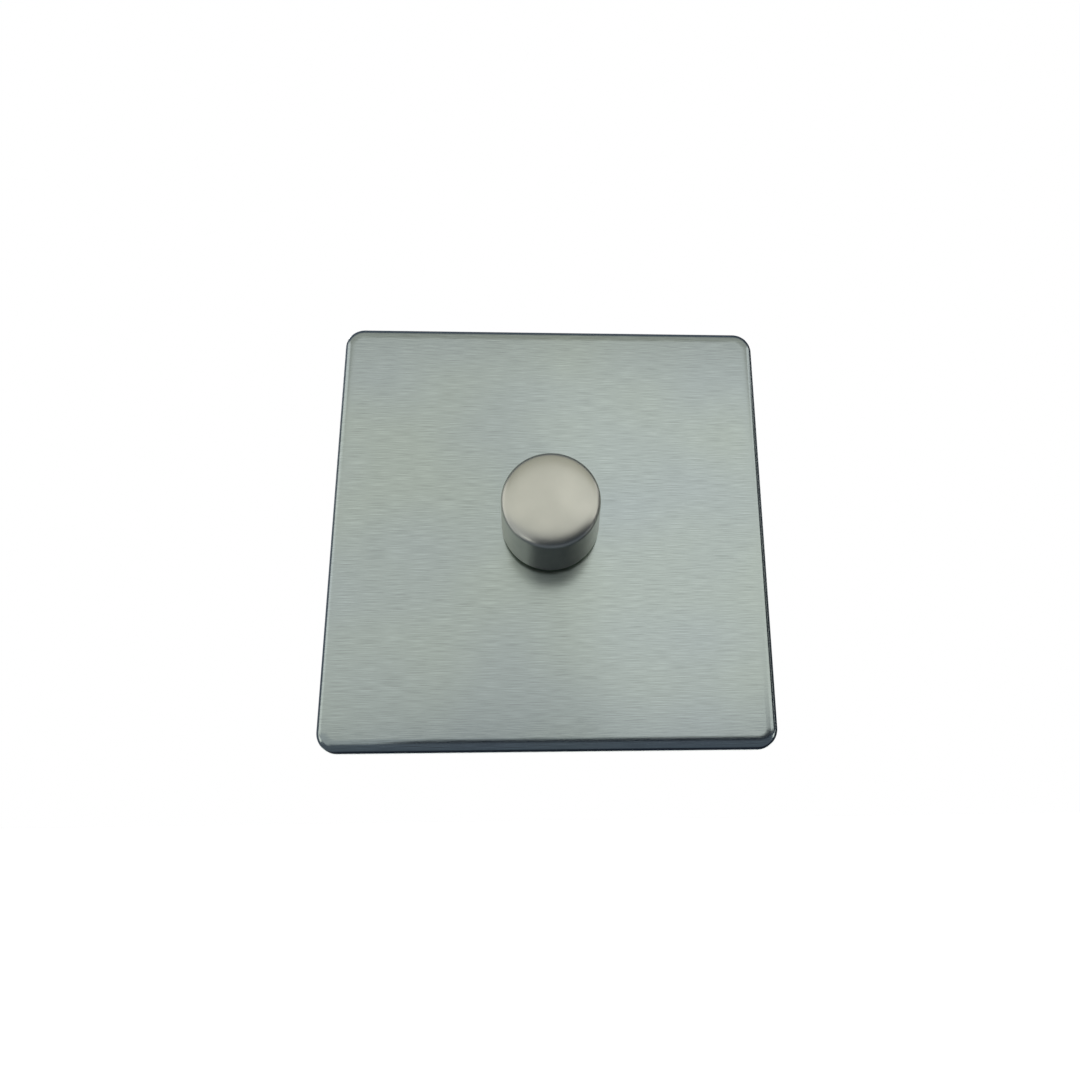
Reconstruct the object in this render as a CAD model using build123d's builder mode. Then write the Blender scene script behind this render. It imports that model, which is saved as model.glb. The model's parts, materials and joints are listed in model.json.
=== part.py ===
from build123d import *
import os

os.makedirs("parts", exist_ok=True)

# A one-gang rotary push dimmer switch on a screwless flat plate, in millimetres.
# Seen from the room, X runs right and Z up, and Y runs into the wall. The origin is the plate's
# centre on the wall plane. OUT distances are measured from the wall towards the room, and IN
# distances from the wall into the wall box.

# Front plate, folded from sheet
PLATE = 86.0
PLATE_FACE = 5.4
PLATE_EDGE = 0.4
PLATE_SHEET = 0.9
PLATE_CORNER = 4.0
PLATE_BEND = 2.5
PLATE_HOLE = 10.8

# Plate liner, moulded
LINER_SLACK = 0.1
LINER = PLATE - 2 * (PLATE_SHEET + LINER_SLACK)
LINER_FRONT = PLATE_FACE - PLATE_SHEET
LINER_WEB = 1.2
LINER_RIM = 1.4
LINER_CORNER = 3.0
LINER_RELIEF = 1.9
LINER_OPENING = 20.0
LINER_RIB = 1.1
LINER_RIB_GAP = 0.1
ARM_WIDTH = 6.0
ARM_THICKNESS = 1.0
ARM_TIP = 1.0
ARM_GAP = 0.2
BARB_REACH = 0.8
BARB_LOW = 1.8
BARB_HIGH = 2.8
PRY_NOTCH = 12.0
PRY_DEPTH = 1.2

# Mounting frame, pressed from sheet
FRAME = 76.0
FRAME_SHEET = 1.2
FRAME_CORNER = 3.0
TAB_SPAN = 78.2
TAB_WIDTH = 24.0
TAB_TOP = 3.2
TAB_BEND = 1.6
WINDOW_WIDTH = 7.0
WINDOW_LOW = 1.7
WINDOW_HIGH = 2.9
FIXING_SPACING = 60.3
FIXING_RADIUS = 2.1
SCREW_HEAD_RADIUS = 4.75
BEAD_LENGTH = 40.0
BEAD_WIDTH = 4.0
BEAD_HEIGHT = 0.6
BEAD_PLACE = 26.0

# Earth terminal on the frame's back
EARTH_X = -30.15
EARTH_Z = -20.0
EARTH_WIDTH = 6.4
EARTH_LENGTH = 9.0
EARTH_DEPTH = 8.0
EARTH_CORNER = 0.5
EARTH_WIRE_IN = 3.4
EARTH_RIVET = 1.5

# Bush, washer and nut
BUSH_RADIUS = 5.0
BUSH_TOP = 7.2
BUSH_BORE = 3.075
BUSH_HOLE = 5.15
WASHER_RADIUS = 7.5
WASHER_THICKNESS = 0.5
NUT_FLATS = 14.0
NUT_THICKNESS = 2.0
NUT_CORNER_DROP = 0.7
NUT_CUT_MARGIN = 0.2
BUSH_LEAD = 0.5

# Knob
KNOB_RADIUS = 9.0
KNOB_FOOT_RADIUS = 9.5
KNOB_HEIGHT = 18.7
KNOB_GAP = 2.0
KNOB_TOP = PLATE_FACE + KNOB_HEIGHT
KNOB_FOOT = PLATE_FACE + KNOB_GAP
KNOB_CROWN_FLAT = 7.6
KNOB_CROWN_DROP = 0.4
KNOB_SHOULDER = 1.8
KNOB_WALL = 0.85
KNOB_ROOF = 1.2
ROOF_ROUND = 1.0
KNOB_FOOT_CHAMFER = 0.2
INSERT_FOOT = 9.2
INSERT_WALL = 1.2
INSERT_ROOF = 1.4
HUB_RADIUS = 4.7
HUB_SLOT = 1.2
HUB_SLOT_DEPTH = 5.0
RIB_OVERLAP = 0.3
RIB_COUNT = 6
RIB_THICKNESS = 0.9
GRIP_LOW = 10.2
GRIP_HIGH = 13.2
GRIP_INNER = 4.15
GRIP_OUTER = 4.75

# Spindle and its clip
SPINDLE_RADIUS = 3.0
SPINDLE_TIP = 19.8
SPINDLE_FLAT = 1.5
SPINDLE_LEAD = 0.4
FLAT_FOOT = 8.0
FIT_GAP = 0.05
DRIVE_SQUARE = 4.2
DRIVE_CORNER = 0.2
DRIVE_SHOULDER = 3.0
DRIVE_END = 9.6
CLIP_IN = 8.8
CLIP_THICKNESS = 0.6
CLIP_OUTER = 4.0
CLIP_GROOVE = 1.6
GROOVE_CUT_MARGIN = 0.5

# Control: housing, rotor, wiper and track
COVER_THICKNESS = 2.5
POT_RADIUS = 12.0
POT_CAVITY = 10.8
POT_FRONT = COVER_THICKNESS
POT_FLOOR = 4.0
POT_BACK = 9.0
SPIGOT_RADIUS = 4.2
STAKE_RADIUS = 5.6
STAKE_BACK = 4.7
PEG_RADIUS = 1.2
PEG_PLACE = 9.2
PEG_TIP = 1.0
PEG_SLOT_GAP = 0.1
STOP_INNER = 9.75
STOP_HALF_ANGLE = 18.0
STOP_OVERLAP = 0.2
LUG_HALF_ANGLE = 10.0
LUG_OVERLAP = 0.5
ROTOR_RADIUS = 9.4
ROTOR_LUG = 10.4
ROTOR_FRONT = 5.0
ROTOR_BACK = 6.6
ROTOR_HUB = 4.4
ROTOR_HUB_BACK = 8.6
TRACK_FRONT = 8.0
TRACK_HOLE = 4.7
TRACK_INNER = 6.6
TRACK_OUTER = 9.0
TRACK_RAISE = 0.1
TRACK_GAP_HALF = 30.0
WIPER_INNER = 4.6
WIPER_OUTER = 7.0
WIPER_SHEET = 0.3
WIPER_GAP = 0.15
FINGER_HALF = 1.7
FINGER_SLOT = 0.8
FINGER_SINK = 0.02
FINGER_ROOT = 5.8
FINGER_HEEL = 5.4
FINGER_TOE = 8.5
FINGER_CURL = 0.4
FINGER_EDGE = 0.2
TAG_WIDTH = 1.5
TAG_PITCH = 3.6
TAG_SHEET = 0.4
TAG_ROOT = 7.8
TAG_STANDOFF = 0.8
TAG_TAIL = 0.8
TAG_GAP = 0.2

# Dimmer module case
CASE_WIDTH = 46.0
CASE_HEIGHT = 56.0
CASE_CENTRE = -1.0
CASE_DEPTH = 22.0
CASE_WALL = 1.8
CASE_CORNER = 3.0
CASE_BACK_EDGE = 1.2
COVER_CHAMFER = 0.4
LIP_THICKNESS = 1.2
LIP_DEPTH = 2.0
LIP_GAP = 0.1
LIP_CORNER = 0.5
PILLAR_X = 18.6
PILLAR_TOP_Z = 22.6
PILLAR_LOW_Z = -24.6
PILLAR_RADIUS = 2.5
CASE_SCREW_RADIUS = 1.2
CASE_SCREW_HEAD = 2.2
CASE_SCREW_TIP = 5.0
CASE_SCREW_HOLE = 1.35
CASE_SCREW_SUNK = 0.3
CASE_SCREW_RELIEF = 0.5
CROSS_LENGTH = 2.4
CROSS_WIDTH = 0.6
CROSS_DEPTH = 0.9
VENT_COUNT = 6
VENT_PITCH = 4.0
VENT_WIDTH = 1.6
VENT_LENGTH = 9.0
VENT_Z = 16.0

# Circuit board and what it carries
BOARD_FRONT = 9.4
BOARD_BACK = 11.0
BOARD_WIDTH = 41.6
BOARD_HEIGHT = 51.6
BOARD_CORNER = 1.0
BOARD_SLOT_GAP = 0.2
SWITCH_CUTOUT = 15.6
TERMINAL_PITCH = 12.0
TERMINAL_WIDTH = 6.5
TERMINAL_LENGTH = 9.0
TERMINAL_Z = -22.0
TERMINAL_BACK = 19.2
WIRE_RADIUS = 2.0
WIRE_IN = 14.4
WIRE_ENTRY = 5.4
WIRE_ENTRY_CORNER = 1.0
BARRIER = 1.4
BARRIER_PAST = 0.4
BARRIER_GAP = 0.2
CLAMP_RADIUS = 1.7
CLAMP_HEAD = 2.4
CLAMP_HEAD_DEPTH = 1.5
CLAMP_ACCESS = 2.8
CLAMP_TIP_GAP = 0.1
CLAMP_PROUD = 0.3
TERMINAL_CHAMFER = 0.5
SCREW_SLOT = 0.8

# Heat sink and triac
SINK_LEFT = -20.9
SINK_RIGHT = -9.2
SINK_LOW = -13.5
SINK_HIGH = 8.5
SINK_SHEET = 1.5
SINK_BEND = 1.2
SINK_FIN_BACK = 19.4
TRIAC_X = -14.3
TRIAC_WIDTH = 9.9
TRIAC_BODY_LOW = -8.2
TRIAC_BODY_HIGH = 1.0
TRIAC_TAB_HIGH = 7.2
TRIAC_HOLE_Z = 4.4
TRIAC_DEPTH = 4.4
TRIAC_TAB = 1.3
TRIAC_CHAMFER = 0.4
TRIAC_HOLE_GAP = 0.2
TRIAC_SCREW = 1.45
TRIAC_SCREW_HEAD = 2.7
TRIAC_SCREW_HEIGHT = 1.8
LEG_PITCH = 2.54
LEG_WIDTH = 0.8
LEG_SHEET = 0.5
LEG_RISE = 1.9
LEG_REACH = 0.7

# Choke
CHOKE_X = 6.5
CHOKE_Z = 17.0
CHOKE_INNER = 3.0
CHOKE_OUTER = 6.2
CHOKE_HEIGHT = 6.0
CHOKE_WIRE = 0.6
CHOKE_TURNS = 14
CHOKE_WIRE_GAP = 0.05

# Capacitors: centre X and Z, then width, height and depth
SUPPRESSOR = (-9.0, 17.0, 13.0, 6.0, 8.4)
TIMING = (17.4, 13.0, 4.5, 7.0, 6.5)
POTTING_CORNER = 0.5
POTTING_EDGE = 0.4

# Wired components: centre X and Z, then the body's radius and length, and the span of the leads
RESISTORS = [(x, 2.5, 1.15, 6.3, 10.2) for x in (11.4, 14.8, 18.2)]
DIAC = (11.4, -8.0, 0.9, 3.8, 7.0)
FUSE = (17.0, -10.6, 1.8, 10.0, 13.0)
LEAD_RADIUS = 0.3

# Push switch behind the control
SWITCH = 15.0
SWITCH_CORNER = 1.0
SWITCH_BACK = 18.0
SWITCH_WALL = 1.2
SWITCH_OPENING = 4.3
PUSH_TRAVEL = 1.6
PLUNGER = 12.4
PLUNGER_CORNER = 0.5
PLUNGER_TIP = 9.7
PLUNGER_NECK = 3.5
PLUNGER_FRONT = 10.4
PLUNGER_BACK = 12.8
SPRING_SEAT = 11.2
SPRING_POCKET = 3.2
SPRING_RADIUS = 2.5
SPRING_WIRE = 0.22
SPRING_TURNS = 4
BRIDGE_SHEET = 0.4
BRIDGE_RING = 1.2
CONTACT_PLACE = 4.9
CONTACT_RADIUS = 0.8
CONTACT_RISE = 0.5
CONTACT_GAP = 0.2
BLADE_IN = PLUNGER_BACK + BRIDGE_SHEET + CONTACT_RISE + PUSH_TRAVEL + CONTACT_GAP
BLADE_SHEET = 0.5
BLADE_WIDTH = 2.4
BLADE_OUTSIDE = 8.7
BLADE_PAST = 0.2

# Tolerance for picking a vertex or an edge by its place
NEAR = 0.01


def facing(out):
    """Plane parallel to the wall and OUT mm in front of it, seen from the room with X right, Z up."""
    return Plane.XZ.offset(out)


def behind(depth):
    """The same plane DEPTH mm behind the wall plane."""
    return Plane.XZ.offset(-depth)


def ring_sector(inner, outer, middle, half_angle):
    """Flat sector of a ring, centred on the direction MIDDLE, as a sketch."""
    with BuildSketch() as sector:
        with BuildLine():
            far = CenterArc((0, 0), outer, middle - half_angle, 2 * half_angle)
            near = CenterArc((0, 0), inner, middle - half_angle, 2 * half_angle)
            Line(far @ 0, near @ 0)
            Line(far @ 1, near @ 1)
        make_face()
    return sector.sketch


# Half section of a turned piece: sketch x is the radius and sketch y the distance out of the wall
TURNED = Plane((0, 0, 0), x_dir=(1, 0, 0), z_dir=(0, 0, -1))

# Front plate: a pan with rolled edges, rounded corners and the spindle hole
with BuildPart() as front_plate:
    with BuildSketch(facing(PLATE_EDGE)):
        RectangleRounded(PLATE, PLATE, PLATE_CORNER)
    extrude(amount=PLATE_FACE - PLATE_EDGE)
    fillet(front_plate.faces().sort_by(Axis.Y)[0].edges(), PLATE_BEND)
    offset(amount=-PLATE_SHEET, openings=front_plate.faces().sort_by(Axis.Y)[-1])
    with Locations(facing(PLATE_FACE)):
        Hole(PLATE_HOLE / 2)

front_plate.part.label = "front_plate"
export_step(front_plate.part, "parts/front_plate.step")

# Plate liner: web, rim that meets the wall, ribs, screw wells and four snap arms
web_back = LINER_FRONT - LINER_WEB
rib_foot = FRAME_SHEET + LINER_RIB_GAP
rib_reach = (LINER / 2 - LINER_CORNER) * 2**0.5 + LINER_CORNER - LINER_RIM / 2
arm_outside = LINER / 2 - LINER_RIM - ARM_GAP
arm_inside = arm_outside - ARM_THICKNESS

with BuildPart() as plate_liner:
    with BuildSketch(facing(0)):
        RectangleRounded(LINER, LINER, LINER_CORNER)
    extrude(amount=LINER_FRONT)
    fillet(plate_liner.faces().sort_by(Axis.Y)[0].edges(), LINER_RELIEF)
    with BuildSketch(facing(0)):
        RectangleRounded(LINER - 2 * LINER_RIM, LINER - 2 * LINER_RIM, LINER_CORNER - LINER_RIM)
    extrude(amount=web_back, mode=Mode.SUBTRACT)
    with BuildSketch(facing(rib_foot)):
        Circle(LINER_OPENING / 2 + LINER_RIB)
        with PolarLocations((LINER_OPENING / 2 + rib_reach) / 2, 4, start_angle=45):
            Rectangle(rib_reach - LINER_OPENING / 2, LINER_RIB)
        with GridLocations(FIXING_SPACING, 0, 2, 1):
            Circle(SCREW_HEAD_RADIUS + LINER_RIB)
    extrude(amount=web_back - rib_foot)
    with BuildSketch(facing(ARM_TIP)):
        with PolarLocations((arm_inside + arm_outside) / 2, 4):
            Rectangle(ARM_THICKNESS, ARM_WIDTH)
    extrude(amount=web_back - ARM_TIP)
    for turn in range(4):
        barb_face = Plane.XY.rotated((0, 90 * turn, 0))
        with BuildSketch(barb_face.offset(-ARM_WIDTH / 2)):
            with BuildLine():
                Polyline(
                    (arm_inside, -BARB_LOW),
                    (arm_inside - BARB_REACH, -BARB_HIGH),
                    (arm_inside, -BARB_HIGH),
                    close=True,
                )
            make_face()
        extrude(amount=ARM_WIDTH)
    with BuildSketch(facing(0)):
        Circle(LINER_OPENING / 2)
        with GridLocations(FIXING_SPACING, 0, 2, 1):
            Circle(SCREW_HEAD_RADIUS)
    extrude(amount=LINER_FRONT, mode=Mode.SUBTRACT)
    with BuildSketch(facing(0)):
        with Locations((0, -LINER / 2 + LINER_RIM / 2)):
            Rectangle(PRY_NOTCH, LINER_RIM)
    extrude(amount=PRY_DEPTH, mode=Mode.SUBTRACT)

plate_liner.part.label = "plate_liner"
export_step(plate_liner.part, "parts/plate_liner.step")

# Mounting frame: flat yoke with four upturned tabs, two beads and the fixing holes
with BuildPart() as mounting_frame:
    with BuildSketch(facing(0)):
        RectangleRounded(FRAME, FRAME, FRAME_CORNER)
        Rectangle(TAB_SPAN, TAB_WIDTH)
        Rectangle(TAB_WIDTH, TAB_SPAN)
    extrude(amount=FRAME_SHEET)
    with BuildSketch(facing(FRAME_SHEET)):
        with PolarLocations((TAB_SPAN - FRAME_SHEET) / 2, 4):
            Rectangle(FRAME_SHEET, TAB_WIDTH)
    extrude(amount=TAB_TOP - FRAME_SHEET)
    tab_feet = mounting_frame.edges().group_by(Axis.Y)[-1].filter_by(GeomType.LINE)
    fillet(tab_feet.filter_by(lambda e: abs(e.length - TAB_WIDTH) < NEAR), TAB_BEND)
    for side in (Plane.YZ, Plane.YX):
        with BuildSketch(side):
            with Locations((-(WINDOW_LOW + WINDOW_HIGH) / 2, 0)):
                Rectangle(WINDOW_HIGH - WINDOW_LOW, WINDOW_WIDTH)
        extrude(amount=PLATE, both=True, mode=Mode.SUBTRACT)
    with BuildSketch(facing(FRAME_SHEET)):
        with GridLocations(0, 2 * BEAD_PLACE, 1, 2):
            SlotOverall(BEAD_LENGTH, BEAD_WIDTH)
    extrude(amount=BEAD_HEIGHT)
    with BuildSketch(facing(0)):
        with GridLocations(0, 2 * BEAD_PLACE, 1, 2):
            SlotOverall(BEAD_LENGTH - 2 * FRAME_SHEET, BEAD_WIDTH - 2 * FRAME_SHEET)
    extrude(amount=BEAD_HEIGHT, mode=Mode.SUBTRACT)
    with BuildSketch(facing(0)):
        Circle(BUSH_HOLE)
        with GridLocations(FIXING_SPACING, 0, 2, 1):
            Circle(FIXING_RADIUS)
        with Locations((0, PEG_PLACE)):
            SlotOverall(3 * PEG_RADIUS, 2 * (PEG_RADIUS + PEG_SLOT_GAP), rotation=90)
        with Locations((EARTH_X, EARTH_Z)):
            Circle(EARTH_RIVET + FIT_GAP)
    extrude(amount=FRAME_SHEET, mode=Mode.SUBTRACT)

mounting_frame.part.label = "mounting_frame"
export_step(mounting_frame.part, "parts/mounting_frame.step")

# Earth terminal: brass block with a wire hole, riveted through the frame
with BuildPart() as earth_terminal:
    with BuildSketch(behind(0)):
        with Locations((EARTH_X, EARTH_Z)):
            RectangleRounded(EARTH_WIDTH, EARTH_LENGTH, EARTH_CORNER)
    extrude(amount=-EARTH_DEPTH)
    with BuildSketch(behind(0)):
        with Locations((EARTH_X, EARTH_Z)):
            Circle(EARTH_RIVET)
    extrude(amount=FRAME_SHEET)
    with BuildSketch(Plane.XY.offset(EARTH_Z)):
        with Locations((EARTH_X, EARTH_WIRE_IN)):
            Circle(WIRE_RADIUS)
    extrude(amount=EARTH_LENGTH, both=True, mode=Mode.SUBTRACT)
    with BuildSketch(behind(EARTH_DEPTH)):
        with Locations((EARTH_X, EARTH_Z)):
            Circle(CLAMP_RADIUS + FIT_GAP)
    extrude(amount=EARTH_DEPTH / 2, mode=Mode.SUBTRACT)

earth_terminal.part.label = "earth_terminal"
export_step(earth_terminal.part, "parts/earth_terminal.step")

# Earth screw: slotted, backed off so that its tip clears the wire hole
earth_tip = EARTH_WIRE_IN + WIRE_RADIUS + CLAMP_TIP_GAP
earth_seat = EARTH_DEPTH + CLAMP_PROUD

with BuildPart() as earth_screw:
    with BuildSketch(behind(earth_tip)):
        with Locations((EARTH_X, EARTH_Z)):
            Circle(CLAMP_RADIUS)
    extrude(amount=-(earth_seat - earth_tip))
    with BuildSketch(behind(earth_seat)):
        with Locations((EARTH_X, EARTH_Z)):
            Circle(CLAMP_HEAD)
    extrude(amount=-CLAMP_HEAD_DEPTH)
    with BuildSketch(behind(earth_seat + CLAMP_HEAD_DEPTH)):
        with Locations((EARTH_X, EARTH_Z)):
            Rectangle(SCREW_SLOT, 2 * CLAMP_HEAD)
    extrude(amount=SCREW_SLOT, mode=Mode.SUBTRACT)

earth_screw.part.label = "earth_screw"
export_step(earth_screw.part, "parts/earth_screw.step")

# Knob cap: a turned shell whose crowned top rolls over into a skirt that widens to the foot
cap_bore = KNOB_RADIUS - KNOB_WALL
roof_out = KNOB_TOP - KNOB_ROOF
shoulder_out = KNOB_TOP - KNOB_SHOULDER

with BuildPart() as knob_cap:
    with BuildSketch(TURNED) as cap_section:
        with BuildLine():
            Bezier(
                (0, KNOB_TOP),
                (KNOB_CROWN_FLAT, KNOB_TOP),
                (KNOB_RADIUS, KNOB_TOP - KNOB_CROWN_DROP),
                (KNOB_RADIUS, shoulder_out),
            )
            Polyline(
                (KNOB_RADIUS, shoulder_out),
                (KNOB_FOOT_RADIUS, KNOB_FOOT),
                (cap_bore, KNOB_FOOT),
                (cap_bore, roof_out),
                (0, roof_out),
                (0, KNOB_TOP),
            )
        make_face()
        roof = cap_section.vertices().filter_by(lambda v: abs(v.X - cap_bore) < NEAR)
        fillet(roof.sort_by(Axis.Y)[-1], ROOF_ROUND)
        chamfer(roof.sort_by(Axis.Y)[0], KNOB_FOOT_CHAMFER)
    revolve(axis=Axis.Y)

knob_cap.part.label = "knob_cap"
export_step(knob_cap.part, "parts/knob_cap.step")

# Knob insert: outer wall, roof, ribs and a slotted hub with a flatted bore
hub_roof = roof_out - INSERT_ROOF
rib_foot_out = INSERT_FOOT + HUB_SLOT_DEPTH

with BuildPart() as knob_insert:
    with BuildSketch(facing(INSERT_FOOT)):
        Circle(cap_bore)
        Circle(cap_bore - INSERT_WALL, mode=Mode.SUBTRACT)
        Circle(HUB_RADIUS)
    extrude(amount=roof_out - INSERT_FOOT)
    with BuildSketch(facing(hub_roof)):
        Circle(cap_bore)
    extrude(amount=INSERT_ROOF)
    chamfer(knob_insert.faces().sort_by(Axis.Y)[0].edges(), ROOF_ROUND)
    with BuildSketch(facing(rib_foot_out)):
        with PolarLocations((HUB_RADIUS + cap_bore - INSERT_WALL) / 2, RIB_COUNT):
            Rectangle(cap_bore - INSERT_WALL - HUB_RADIUS + 2 * RIB_OVERLAP, RIB_THICKNESS)
    extrude(amount=hub_roof - rib_foot_out)
    with BuildSketch(facing(GRIP_LOW)):
        Circle(HUB_RADIUS)
        Circle(GRIP_INNER, mode=Mode.SUBTRACT)
    extrude(amount=GRIP_HIGH - GRIP_LOW, mode=Mode.SUBTRACT)
    with BuildSketch(facing(INSERT_FOOT)):
        Rectangle(HUB_SLOT, 2 * HUB_RADIUS)
    extrude(amount=HUB_SLOT_DEPTH, mode=Mode.SUBTRACT)
    with BuildSketch(facing(INSERT_FOOT)) as flatted_bore:
        Circle(SPINDLE_RADIUS + FIT_GAP)
        with Locations((SPINDLE_FLAT + FIT_GAP, 0)):
            Rectangle(
                SPINDLE_RADIUS, 3 * SPINDLE_RADIUS, align=(Align.MIN, Align.CENTER), mode=Mode.SUBTRACT
            )
    extrude(amount=SPINDLE_TIP + FIT_GAP - INSERT_FOOT, mode=Mode.SUBTRACT)

knob_insert.part.label = "knob_insert"
export_step(knob_insert.part, "parts/knob_insert.step")

# Knob grip ring: split spring ring in the hub's groove
with BuildPart() as knob_grip_ring:
    with BuildSketch(facing(GRIP_LOW + FIT_GAP)):
        Circle(GRIP_OUTER)
        Circle(GRIP_INNER, mode=Mode.SUBTRACT)
        with Locations((0, GRIP_OUTER)):
            Rectangle(HUB_SLOT, GRIP_OUTER, mode=Mode.SUBTRACT)
    extrude(amount=GRIP_HIGH - GRIP_LOW - 2 * FIT_GAP)

knob_grip_ring.part.label = "knob_grip_ring"
export_step(knob_grip_ring.part, "parts/knob_grip_ring.step")

# Bush: threaded barrel, spigot and staked flange in one turning
with BuildPart() as bush:
    with BuildSketch(TURNED) as bush_section:
        with BuildLine():
            Polyline(
                (BUSH_BORE, BUSH_TOP),
                (BUSH_RADIUS, BUSH_TOP),
                (BUSH_RADIUS, -POT_FRONT),
                (SPIGOT_RADIUS, -POT_FRONT),
                (SPIGOT_RADIUS, -POT_FLOOR),
                (STAKE_RADIUS, -POT_FLOOR),
                (STAKE_RADIUS, -STAKE_BACK),
                (BUSH_BORE, -STAKE_BACK),
                close=True,
            )
        make_face()
        chamfer(bush_section.vertices().group_by(Axis.Y)[-1].sort_by(Axis.X)[-1], BUSH_LEAD)
    revolve(axis=Axis.Y)

bush.part.label = "bush"
export_step(bush.part, "parts/bush.step")

# Bush washer
with BuildPart() as bush_washer:
    with BuildSketch(facing(FRAME_SHEET)):
        Circle(WASHER_RADIUS)
        Circle(BUSH_HOLE, mode=Mode.SUBTRACT)
    extrude(amount=WASHER_THICKNESS)

bush_washer.part.label = "bush_washer"
export_step(bush_washer.part, "parts/bush_washer.step")

# Bush nut: hexagon with its corners turned back at 30 degrees
nut_foot = FRAME_SHEET + WASHER_THICKNESS
nut_top = nut_foot + NUT_THICKNESS
nut_corner = NUT_FLATS / 3**0.5

with BuildPart() as bush_nut:
    with BuildSketch(facing(nut_foot)):
        RegularPolygon(nut_corner, 6)
        Circle(BUSH_RADIUS + FIT_GAP, mode=Mode.SUBTRACT)
    extrude(amount=NUT_THICKNESS)
    with BuildSketch(TURNED):
        with BuildLine():
            Polyline(
                (NUT_FLATS / 2, nut_top),
                (nut_corner + NUT_CUT_MARGIN, nut_top),
                (nut_corner + NUT_CUT_MARGIN, nut_top - NUT_CORNER_DROP),
                close=True,
            )
        make_face()
    revolve(axis=Axis.Y, mode=Mode.SUBTRACT)

bush_nut.part.label = "bush_nut"
export_step(bush_nut.part, "parts/bush_nut.step")

# Spindle: round and flatted at the knob, square where it drives the rotor
with BuildPart() as spindle:
    with BuildSketch(facing(SPINDLE_TIP)):
        Circle(SPINDLE_RADIUS)
    extrude(amount=-(SPINDLE_TIP + DRIVE_SHOULDER))
    chamfer(spindle.faces().sort_by(Axis.Y)[0].edges(), SPINDLE_LEAD)
    with BuildSketch(facing(FLAT_FOOT)):
        with Locations((SPINDLE_FLAT, 0)):
            Rectangle(SPINDLE_RADIUS, 3 * SPINDLE_RADIUS, align=(Align.MIN, Align.CENTER))
    extrude(amount=SPINDLE_TIP - FLAT_FOOT, mode=Mode.SUBTRACT)
    with BuildSketch(behind(DRIVE_SHOULDER)):
        RectangleRounded(DRIVE_SQUARE, DRIVE_SQUARE, DRIVE_CORNER)
    extrude(amount=-(DRIVE_END - DRIVE_SHOULDER))
    with BuildSketch(behind(CLIP_IN - FIT_GAP)):
        Circle(SPINDLE_RADIUS + GROOVE_CUT_MARGIN)
        Circle(CLIP_GROOVE, mode=Mode.SUBTRACT)
    extrude(amount=-(CLIP_THICKNESS + 2 * FIT_GAP), mode=Mode.SUBTRACT)

spindle.part.label = "spindle"
export_step(spindle.part, "parts/spindle.step")

# Spindle clip: open ring in the groove behind the rotor's hub
with BuildPart() as spindle_clip:
    with BuildSketch(behind(CLIP_IN)):
        Circle(CLIP_OUTER)
        Circle(CLIP_GROOVE + FIT_GAP, mode=Mode.SUBTRACT)
        with Locations((0, -CLIP_OUTER)):
            Rectangle(2 * CLIP_GROOVE, 2 * CLIP_OUTER, mode=Mode.SUBTRACT)
    extrude(amount=-CLIP_THICKNESS)

spindle_clip.part.label = "spindle_clip"
export_step(spindle_clip.part, "parts/spindle_clip.step")

# Control housing: round pot with a locating peg in front and an end stop inside at six o'clock
with BuildPart() as pot_case:
    with BuildSketch(behind(POT_FRONT)):
        Circle(POT_RADIUS)
    extrude(amount=-(POT_BACK - POT_FRONT))
    with BuildSketch(behind(POT_FLOOR)):
        Circle(POT_CAVITY)
    extrude(amount=-(POT_BACK - POT_FLOOR), mode=Mode.SUBTRACT)
    with BuildSketch(behind(POT_FLOOR)):
        add(ring_sector(STOP_INNER, POT_CAVITY + STOP_OVERLAP, -90, STOP_HALF_ANGLE))
    extrude(amount=-(ROTOR_BACK - POT_FLOOR))
    with BuildSketch(behind(POT_FRONT)):
        with Locations((0, PEG_PLACE)):
            Circle(PEG_RADIUS)
    extrude(amount=POT_FRONT + PEG_TIP)
    with BuildSketch(behind(POT_FRONT)):
        Circle(SPIGOT_RADIUS)
    extrude(amount=-(POT_FLOOR - POT_FRONT), mode=Mode.SUBTRACT)
    with BuildSketch(behind(TRACK_FRONT)):
        with Locations((0, -POT_RADIUS)):
            Rectangle(2 * TAG_PITCH + TAG_WIDTH + 2 * TAG_GAP, POT_RADIUS)
    extrude(amount=-(POT_BACK - TRACK_FRONT), mode=Mode.SUBTRACT)

pot_case.part.label = "pot_case"
export_step(pot_case.part, "parts/pot_case.step")

# Rotor: disc with a stop lug at twelve o'clock and a hub with the square drive hole
with BuildPart() as rotor:
    with BuildSketch(behind(ROTOR_FRONT)):
        Circle(ROTOR_RADIUS)
        add(ring_sector(ROTOR_RADIUS - LUG_OVERLAP, ROTOR_LUG, 90, LUG_HALF_ANGLE))
    extrude(amount=-(ROTOR_BACK - ROTOR_FRONT))
    with BuildSketch(behind(ROTOR_BACK)):
        Circle(ROTOR_HUB)
    extrude(amount=-(ROTOR_HUB_BACK - ROTOR_BACK))
    with BuildSketch(behind(ROTOR_FRONT)):
        Rectangle(DRIVE_SQUARE + 2 * FIT_GAP, DRIVE_SQUARE + 2 * FIT_GAP)
    extrude(amount=-(ROTOR_HUB_BACK - ROTOR_FRONT), mode=Mode.SUBTRACT)

rotor.part.label = "rotor"
export_step(rotor.part, "parts/rotor.step")

# Wiper: ring on the rotor's back with two bent fingers that reach the track
track_face = TRACK_FRONT - TRACK_RAISE
track_middle = (TRACK_INNER + TRACK_OUTER) / 2
finger_tip = track_face - WIPER_GAP

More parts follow.
